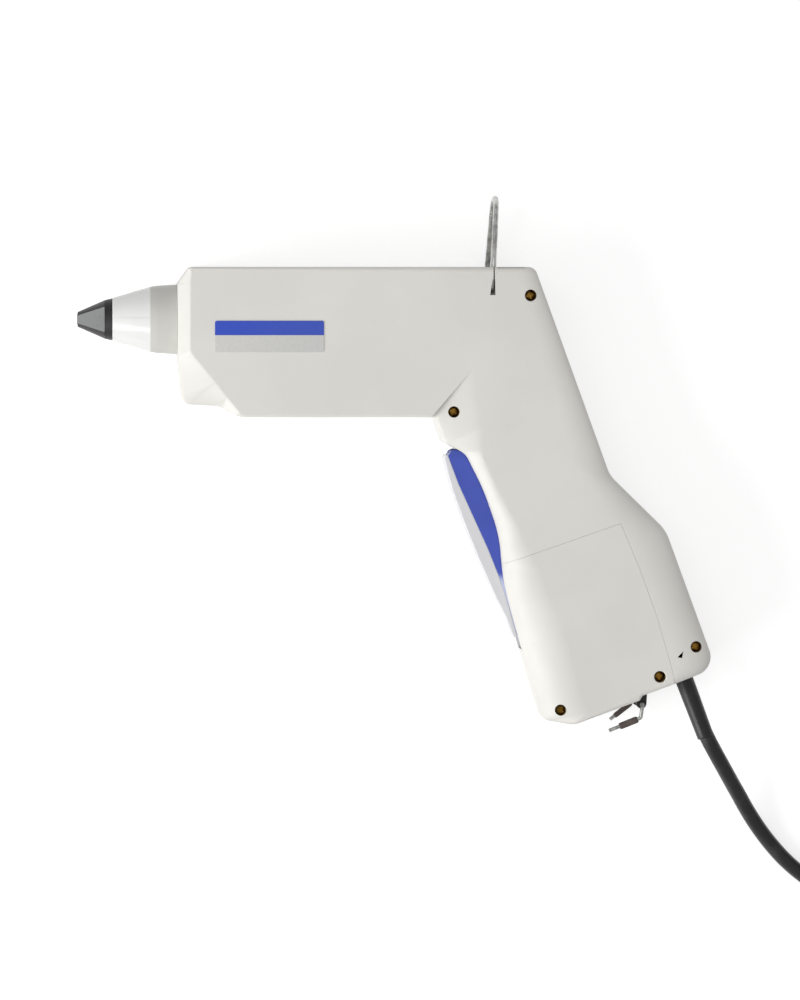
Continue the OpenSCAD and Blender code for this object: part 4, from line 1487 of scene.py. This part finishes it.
@dataclass
class Nozzle:
    """The shroud at the casing's front, the flat-sided sleeve and the ring behind it."""

    tip: float = -118.5
    ring: float = -107.0
    mouth: float = -103.7
    collar_from: float = -87.85
    flat_tilt: float = 17.0
    flat_half: float = 6.13
    seam: float = 0.8
    seam_half: float = 0.13
    seam_depth: float = 0.22
    gloss: MouldedPlastic = MouldedPlastic("shroud_white", (0.88, 0.88, 0.875), 0.2, 0.0012, 0.01, 0.006)
    # painted shade: a greyer, duller copy of the shroud's white plastic for the collar's cylinder
    collar: MouldedPlastic = MouldedPlastic("shroud_grey", (0.77, 0.765, 0.745), 0.5, 0.003, 0.015, 0.006)
    rubber: SoftRubber = SoftRubber("ring_rubber", (0.05, 0.045, 0.055), (0.08, 0.075, 0.085), 0.5)
    # dark flanks: partly the sleeve's own colour, partly painted shade
    dark_and_shade: MouldedPlastic = MouldedPlastic("sleeve_dark", (0.17, 0.16, 0.165), 0.42, 0.003, 0.05, 0.03)
    # painted reflection: a paler grey for the flats
    painted_flat_sheen: MouldedPlastic = MouldedPlastic("sleeve_flat", (0.5, 0.51, 0.507), 0.36, 0.002, 0.04, 0.03)

    def groove(self, side: int) -> Piece:
        """A thin blade along the cone, for the mark that its mould leaves.

        Args:
            side: 1 for the upper side, -1 for the lower one.

        Returns:
            The blade.
        """
        rings = []
        y0, y1 = self.seam - self.seam_half, self.seam + self.seam_half
        for x, r in ((self.mouth - 1, 8.7), (-95.0, 11.7), (-88.0, 13.55)):
            low, high = MID + side * (r - self.seam_depth), MID + side * (r + 4)
            rings.append([(x, y0, low), (x, y1, low), (x, y1, high), (x, y0, high)])
        return lofted("groove", rings)

    def shroud(self) -> Piece:
        """The white cone and its grey collar, hollow and closed to a neck in the casing. The collar's grey
        is a duller copy of the cone's white plastic, painted shade for the cylinder that turns away from the
        lamp.

        Returns:
            The shroud, in both of its finishes.
        """
        profile = outline([(self.mouth, 7.65, 0.3), (self.mouth, 9, 0.5), (-95, 11.68, 3),
                           (-87.8, 13.68, 1.5), (-85, 14.13, 1.2), (-76.55, 14.65, 0.15),
                           (-76.55, 12.8, 0.1), (-73.8, 12.8, 0.1), (-73.8, 15, 0.3), (-72.4, 15, 0.3),
                           (-72.4, 11.2, 0.3), (-87, 11.2, 0.5)], 5)
        made = carved("shroud_piece", spun("shroud_form", profile, sides=144),
                      [(Cut.TAKE, [self.groove(1), self.groove(-1)])])
        dress(made, self.gloss, self.collar)
        # faces behind collar_from, the collar's cylinder, take the painted shade
        second_finish(made, lambda face: face.center.x > self.collar_from * MM)
        return smooth(made, 32)

    def sleeve(self) -> Piece:
        """The cone of the sleeve, with two flats that narrow towards the tip. The flats take a paler finish
        as painted reflection, and the flanks a dark one, partly the sleeve's own colour and partly painted
        shade.

        Returns:
            The sleeve, in both of its finishes.
        """
        profile = outline([(self.tip + 0.15, 2.3, 0.2), (self.tip + 0.15, 3.1, 0.5), (self.ring, 8.09, 0.08),
                           (self.ring, 6.88, 0.1), (-99.5, 6.88, 0.2), (-99.5, 5.07, 0.2),
                           (-107.9, 5.12, 0.1), (-116.6, 2.3, 0.1)], 5)
        front, back = self.tip - 2, self.ring + 0.1
        low = self.flat_half - (self.ring - front) * math.tan(math.radians(self.flat_tilt))
        cuts = []
        for side in (-1, 1):
            edge = ((back, self.flat_half), (back, 12), (front, 12), (front, low))
            cuts.append(lofted("slab", [[(x, y, MID + side * z) for x, z in edge] for y in (-12, 12)]))
        made = carved("sleeve_piece", spun("sleeve_form", profile, sides=120), [(Cut.TAKE, cuts)])
        made = bevelled(made, 0.2, 3, 25)
        dress(made, self.dark_and_shade, self.painted_flat_sheen)
        # faces that point along Z, the flats, take the painted reflection; the rest keep the dark finish
        # with its painted shade
        second_finish(made, lambda face: abs(face.normal.z) > 0.95 and face.center.x < self.ring * MM)
        return smooth(made, 34)

    def build(self) -> None:
        """Make the pieces of the nozzle's outside."""
        front, back = self.ring + 0.03, self.mouth - 0.03
        band = spun("ring_piece", outline([(front, 6.97, 0.1), (front, 8.11, 0.08), (back, 8.88, 0.08),
                                           (back, 6.97, 0.1)], 5), sides=120)
        place(self.shroud(), "casing", "shroud_plastic", "nozzle_shroud")
        place(self.sleeve(), "casing", "dark_sleeve", "nozzle_sleeve")
        place(smooth(dress(band, self.rubber), 32), "casing", "black_plastic", "nozzle_ring")


# ---- trigger


@dataclass(frozen=True)
class HighlightPaledPlastic(Finish):
    """Satin tinted plastic that pales along Y between two places in millimetres, a painted highlight that
    washes out the tint.
    """

    pale: Colour
    start: float
    end: float
    roughness: float = 0.34

    def paint(self, tree: ShaderTree) -> None:
        """Link what the finish needs to the material's shader.

        Args:
            tree: The material under construction.
        """
        along = tree.axis("Y")
        wander = tree.ramp(tree.noise(60.0, 3.0), [(0.3, -1.5 * MM), (0.7, 1.5 * MM)])
        # painted highlight: the tint pales towards the lever's foot, where the light washes it out
        share = tree.ramp(tree.math("ADD", along, wander), [(self.end * MM, 1.0), (self.start * MM, 0.0)])
        broad = tree.ramp(tree.noise(45.0, 4.0), [(0.3, 0.0), (0.7, 1.0)])
        blue = tree.blend(broad, shade(self.colour, 0.96), shade(self.colour, 1.04))
        tree.feed("Base Color", tree.blend(share, blue, self.pale))
        tree.rough(tree.noise(150.0, 4.0), self.roughness - 0.05, self.roughness + 0.07)
        tree.relief([(tree.noise(1800.0, 2.0), 0.003)])


@dataclass
class Trigger:
    """The blue lever, hollow behind, and the pale pad that the fingers pull on."""

    half: float = 10.0
    pin_at: Point2 = TRIGGER_PIN
    reach: float = 64.0
    lean: float = 17.5
    front: tuple[Point2, ...] = ((37.2, -57.4), (41.6, -69.1), (47.9, -83), (54.2, -96.8), (59.2, -109.4),
                                 (63, -121), (66.5, -133.5))
    back: tuple[Point2, ...] = ((70, -138), (75.5, -134), (77, -128.5), (73, -119), (67.5, -104), (62, -86),
                                (57, -72), (54, -64), (48.5, -57))
    hollow: tuple[Point2, ...] = ((43, -50), (41.6, -58.5), (44.6, -68.5), (50.7, -82), (57, -96),
                                  (62, -108), (64.5, -117), (90, -117), (70, -50))
    pad_front: tuple[Point2, ...] = ((35.7, -58.5), (37, -64), (39.1, -71.6), (44.6, -86.7), (50.8, -102),
                                     (57.5, -117), (61.3, -124.5), (65, -134))
    notch: tuple[Point2, ...] = ((33, -49.6), (43.4, -64.4), (60, -64.4), (60, -45))
    # the lever's blue pales below y -106.5 as a painted highlight
    blue: HighlightPaledPlastic = HighlightPaledPlastic("lever_blue", (0.245, 0.315, 0.69), (0.78, 0.81, 0.93), -106.5, -113)
    pale: MouldedPlastic = MouldedPlastic("pad_pale", (0.84, 0.84, 0.85), 0.32, 0.003, 0.01, 0.01)

    def slab(self, name: str, edge: Sequence[Point2], wall: float = 0.0) -> Piece:
        """An outline as a solid over the trigger's width, less a wall at both sides."""
        return prism(name, edge, MID - self.half + wall, MID + self.half - wall)

    def lever(self) -> Piece:
        """The blue lever with its hollow, its pins' holes, its ears and a notch for the rocker.

        Returns:
            The lever.
        """
        top = [(42.6, -55.3, 2), (40.2, -54.6, 2), (38.4, -55.4, 1), (*self.front[0], 0.3)]
        front = [(*p, 14) for p in self.front[1:]]
        back = [(*p, r) for p, r in zip(self.back, (3, 4, 6, 14, 14, 14, 8, 4, 3))]
        body = bevelled(self.slab("lever_form", outline(top + front + back, 6)), 1.0, 4, 40)
        a = math.radians(self.lean)
        drive = (self.pin_at[0] - self.reach * math.sin(a), self.pin_at[1] + self.reach * math.cos(a))
        tools = [self.slab("hollow", self.hollow, 3),
                 post("drive", drive, MID - self.half + 1.2, MID + self.half - 1.2, 2.0),
                 post("pivot", self.pin_at, 0, CASING_W, 2.05),
                 block("ears", (67.2, -135.6, MID - 6.2), (90, -116, MID + 6.2)),
                 prism("notch", self.notch, MID - 3.5, MID + 3.5)]
        return smooth(carved("lever_piece", body, [(Cut.TAKE, tools)]), 34)

    def pad(self) -> Piece:
        """The pad with its rounded front edges and top.

        Returns:
            The pad.
        """
        front = [(36.2, -56.8, 0.4), (*self.pad_front[0], 1.5), *((*p, 12) for p in self.pad_front[1:-1]),
                 (*self.pad_front[-1], 0.3)]
        back = [(*self.front[-1], 0.3), *((*p, 14) for p in self.front[-2:0:-1]), (*self.front[0], 0.3)]
        return smooth(bevelled(self.slab("pad_form", outline(front + back, 6)), 1.3, 5, 50), 40)

    def build(self) -> None:
        """Make the lever and its pad."""
        place(dress(self.lever(), self.blue), "trigger", "trigger_blue", "trigger_lever")
        place(dress(self.pad(), self.pale), "trigger", "trigger_pad", "trigger_face")


# ---- wires that fold out


@dataclass
class FoldingWires:
    """The bail on the top and the stand at the handle's end, with the stand's sleeves."""

    bail_r: float = 1.2
    stand_r: float = 0.8
    bail_at: Point2 = BAIL_AT
    bail_leg: float = BAIL_LEG
    stand_at: Point2 = (118.9, -162.0)
    stand_tip: Point2 = (107.9, -170.6)
    stand_low: float = 6.0
    sleeves: tuple[Point3, ...] = ((2.6, 11.5, 1.15), (1.4, 9.6, 1.45))
    wire: PlainMetal = PlainMetal("spring_wire", (0.8, 0.8, 0.79), 0.3, (1, 0.08, 1), 0.14, 0.001)
    sleeve: SoftRubber = SoftRubber("foot_sleeve", (0.3, 0.26, 0.24), (0.36, 0.32, 0.3), 0.6)

    def bail_path(self) -> tuple[list[Point3], list[float]]:
        """Corners of the bail and the bend at each.

        Returns:
            The corners, and the radius of the bend at each.
        """
        (x, y), low, high = self.bail_at, self.bail_leg, CASING_W - self.bail_leg
        points = [(x, y, high - 4.2), (x, y, high), (55.8, 24, high), (57.4, 48.4, high - 9),
                  (57.7, 51.6, MID), (57.4, 48.4, low + 9), (55.8, 24, low), (x, y, low), (x, y, low + 4.2)]
        return points, [0, 1.8, 12, 6, 12, 6, 12, 1.8, 0]

    def legs(self) -> tuple[list[Point3], list[Point3]]:
        """The two ends of each of the stand's legs, the lower one first.

        Returns:
            The lower leg's ends, then the upper leg's.
        """
        (ax, ay), (bx, by), low = self.stand_at, self.stand_tip, self.stand_low
        high = CASING_W - low
        return [(ax, ay, low), (bx, by, low)], [(ax - 0.8, ay - 5.7, high), (bx - 3.2, by - 2.4, high)]

    def feet(self) -> Piece:
        """The soft sleeves on the stand's legs.

        Returns:
            Both sleeves as one piece.
        """
        made = []
        for (start, end), (begin, stop, outer) in zip(self.legs(), self.sleeves):
            way = (Vector(end) - Vector(start)).normalized()
            r = self.stand_r + 0.01
            profile = outline([(begin, r, 0.05), (begin, outer - 0.12, 0.25),
                               (begin + 1, outer - 0.01, 0.5), (stop - 1, outer - 0.01, 0.5),
                               (stop, outer - 0.15, 0.25), (stop, r, 0.05)], 4)
            made.append(spun("sleeve", profile, start, tuple(way), 36))
        return smooth(merged("stand_sleeves", made), 34)

    def build(self) -> None:
        """Sweep both wires and put the sleeves on."""
        tree = wire_tree()
        points, bends = self.bail_path()
        steel = material_of(self.wire)
        bail = tree.run(path_object("bail_path", points, bends), "bail_wire",
                        Wire_Radius=self.bail_r * MM, Finish=steel)
        low, high = self.legs()
        corners = [low[1], low[0], (*self.stand_at, CASING_W - self.stand_low), *high]
        stand = tree.run(path_object("stand_path", corners, [0, 2.0, 2.0, 1.2, 0]), "stand_wire_piece",
                         Wire_Radius=self.stand_r * MM, Finish=steel)
        place(smooth(bail, 40, False), "bail", "wire_steel", "bail")
        place(smooth(stand, 40, False), "stand", "wire_steel", "stand_wire")
        place(dress(self.feet(), self.sleeve), "stand", "black_plastic", "stand_feet")


# ---- fasteners and label


@dataclass
class Fasteners:
    """The self-tapping screws that hold the casing and the cover."""

    seat: float = 36.7
    head_r: float = 2.15
    head_h: float = 1.8
    shank_r: float = 1.5
    length: float = 28.0
    pitch: float = 1.3
    thread: float = 0.32
    brass: PlainMetal = PlainMetal("aged_brass", (0.78, 0.6, 0.27), 0.42, (1, 1, 1), 0.2, 0.004)

    def screw(self) -> Piece:
        """One screw below the origin, with its head's seat at the origin.

        Returns:
            The screw.
        """
        h, r, s = self.head_h, self.head_r - 0.02, self.shank_r - 0.01
        profile = [(h, 0), (h, r - 1.1), (h - 0.12, r - 0.6), (h - 0.45, r - 0.15), (h - 0.9, r), (0, r),
                   (0, s), (-1.5, s)]
        root = s - self.thread
        z = -1.8
        while z > -self.length + 3.2:
            profile += [(z, root), (z - 0.45 * self.pitch, s), (z - 0.6 * self.pitch, s),
                        (z - 0.98 * self.pitch, root)]
            z -= self.pitch
        profile += [(-self.length + 1.8, s - 0.3), (-self.length + 0.05, 0.15), (-self.length + 0.05, 0)]
        body = spun("screw_form", profile, (0, 0, 0), (0, 0, 1), 32, False)
        cross = [block("slot", (-1.6, -0.35, h - 0.8), (1.6, 0.35, h + 1)),
                 block("slot", (-0.35, -1.6, h - 0.8), (0.35, 1.6, h + 1))]
        return smooth(carved("screw", body, [(Cut.TAKE, cross)]), 35)

    def build(self) -> None:
        """Put a copy of the screw at each place."""
        tree = copies_tree()
        brass = material_of(self.brass)
        for name, node, spots, turns in (
                ("casing_screw_set", "casing_screws", CASING_SCREWS, (18, 62, 35)),
                ("cover_screw_set", "cover_screws", COVER_SCREWS, (48, 7))):
            made = copies(name, self.screw(), [(*p[:2], self.seat) for p in spots], turns, brass, tree)
            place(made, "casing", "brass", node)


@dataclass(frozen=True)
class PrintedFilm(Finish):
    """A printed film whose tint drifts along X between two places in millimetres."""

    tint: Colour
    start: float = -61.0
    end: float = -15.5
    roughness: float = 0.36
    wear: float = 0.12

    def paint(self, tree: ShaderTree) -> None:
        """Link what the finish needs to the material's shader.

        Args:
            tree: The material under construction.
        """
        drift = tree.ramp(tree.axis("X"), [(self.start * MM, 0.0), (self.end * MM, 1.0)])
        ink = tree.ramp(tree.noise(700.0, 4.0), [(0.35, 0.0), (0.7, 1.0)])
        colour = tree.blend(drift, self.colour, self.tint)
        worn = tree.math("MULTIPLY", ink, self.wear)
        tree.feed("Base Color", tree.blend(worn, colour, shade(self.colour, 0.8)))
        tree.rough(tree.noise(90.0, 3.0), self.roughness - 0.05, self.roughness + 0.05)
        tree.relief([(tree.noise(300.0, 3.0), 0.006)])


@dataclass
class Label:
    """The bare rating label, a blue band over a grey one."""

    lo: Point2 = (-61.0, -13.6)
    hi: Point2 = (-15.5, -0.5)
    join: float = -6.5
    thickness: float = 0.28
    corner: float = 0.8
    blue: PrintedFilm = PrintedFilm("label_blue", (0.15, 0.28, 0.74), (0.19, 0.3, 0.71))
    grey: PrintedFilm = PrintedFilm("label_grey", (0.81, 0.805, 0.79), (0.78, 0.78, 0.77))

    def build(self) -> None:
        """Make the two bands on the side face."""
        (x0, y0), (x1, y1), top = self.lo, self.hi, CASING_W + self.thickness
        sharp, r = 0.02, self.corner
        bands = []
        for low, high, at_low, at_high in ((y0, self.join - 0.01, r, sharp), (self.join, y1, sharp, r)):
            edge = outline([(x0, low, at_low), (x1, low, at_low),
                            (x1, high, at_high), (x0, high, at_high)], 6)
            bands.append(bevelled(prism("band", edge, CASING_W + 0.01, top), 0.06, 2, 60))
        count = len(bands[0].data.polygons)
        made = dress(merged("label_film", bands), self.grey, self.blue)
        second_finish(made, lambda face: face.index >= count)
        place(smooth(made, 30), "casing", "label", "label_plate")


# ---- nodes carried over


STEEL = PlainMetal("plain_steel", (0.64, 0.64, 0.63), 0.28, (0.15, 1, 1))
HEATER = PlainMetal("heater_steel", (0.56, 0.53, 0.48), 0.4, (0.1, 1, 1), 0.3)
CAST = PlainMetal("cast_aluminium", (0.69, 0.69, 0.68), 0.55, (1, 1, 1), 0.1, 0.02)
BRASS = PlainMetal("plain_brass", (0.72, 0.57, 0.3), 0.3, (1, 1, 0.1))
TIP = PlainMetal("tip_steel", (0.42, 0.42, 0.42), 0.35, (0.15, 1, 1), 0.2)
INNER = MouldedPlastic("inner_plastic", (0.21, 0.21, 0.225), 0.5)
BLACK = MouldedPlastic("black_plastic", (0.1, 0.1, 0.105), 0.45)
CREAM = MouldedPlastic("terminal_cream", (0.88, 0.86, 0.78), 0.4)
BOARD = MouldedPlastic("insulating_board", (0.78, 0.74, 0.64), 0.85, 0.02, 0.08, 0.06)
SILICONE = SoftRubber("collar_silicone", (0.68, 0.24, 0.16), (0.72, 0.34, 0.26), 0.5)
WIRING = SoftRubber("wiring_silicone", (0.62, 0.2, 0.14), (0.68, 0.3, 0.24), 0.45)

CARRIED_OVER: dict[str, Finish] = {
    "nozzle": TIP, "valve_ball": STEEL, "valve_spring": STEEL, "melt_chamber": CAST,
    "chamber_supports": BOARD, "heater_cartridges": HEATER, "thermostat": BLACK, "inlet_collar": SILICONE,
    "front_guide": INNER, "guide_rods": STEEL, "rear_bushing": INNER, "carriage": INNER, "grip_pawl": STEEL,
    "pawl_pin": STEEL, "feed_rocker": STEEL, "rocker_pin": STEEL, "drive_pin": STEEL, "trigger_pin": STEEL,
    "return_spring": STEEL, "terminal_block": CREAM, "internal_leads": WIRING, "cord_clamp": INNER,
    "clamp_screws": STEEL, "stand_brackets": BLACK, "plug_pins": BRASS}


def dress_carried_over() -> None:
    """Give each CAD node that stays its finish."""
    for node, finish in CARRIED_OVER.items():
        dress(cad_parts[node], finish)
        log.info("%s keeps its CAD shape, in %s", node, finish.name)


# ---- assembly


def main() -> None:
    """Build the studio and every sub-assembly in order."""
    logging.basicConfig(level=logging.INFO, format="%(name)s: %(message)s")
    for part in (Studio(), Lead(), Casing(), Nozzle(), Trigger(), FoldingWires(), Fasteners(), Label()):
        part.build()
    dress_carried_over()


if __name__ == "__main__":
    main()
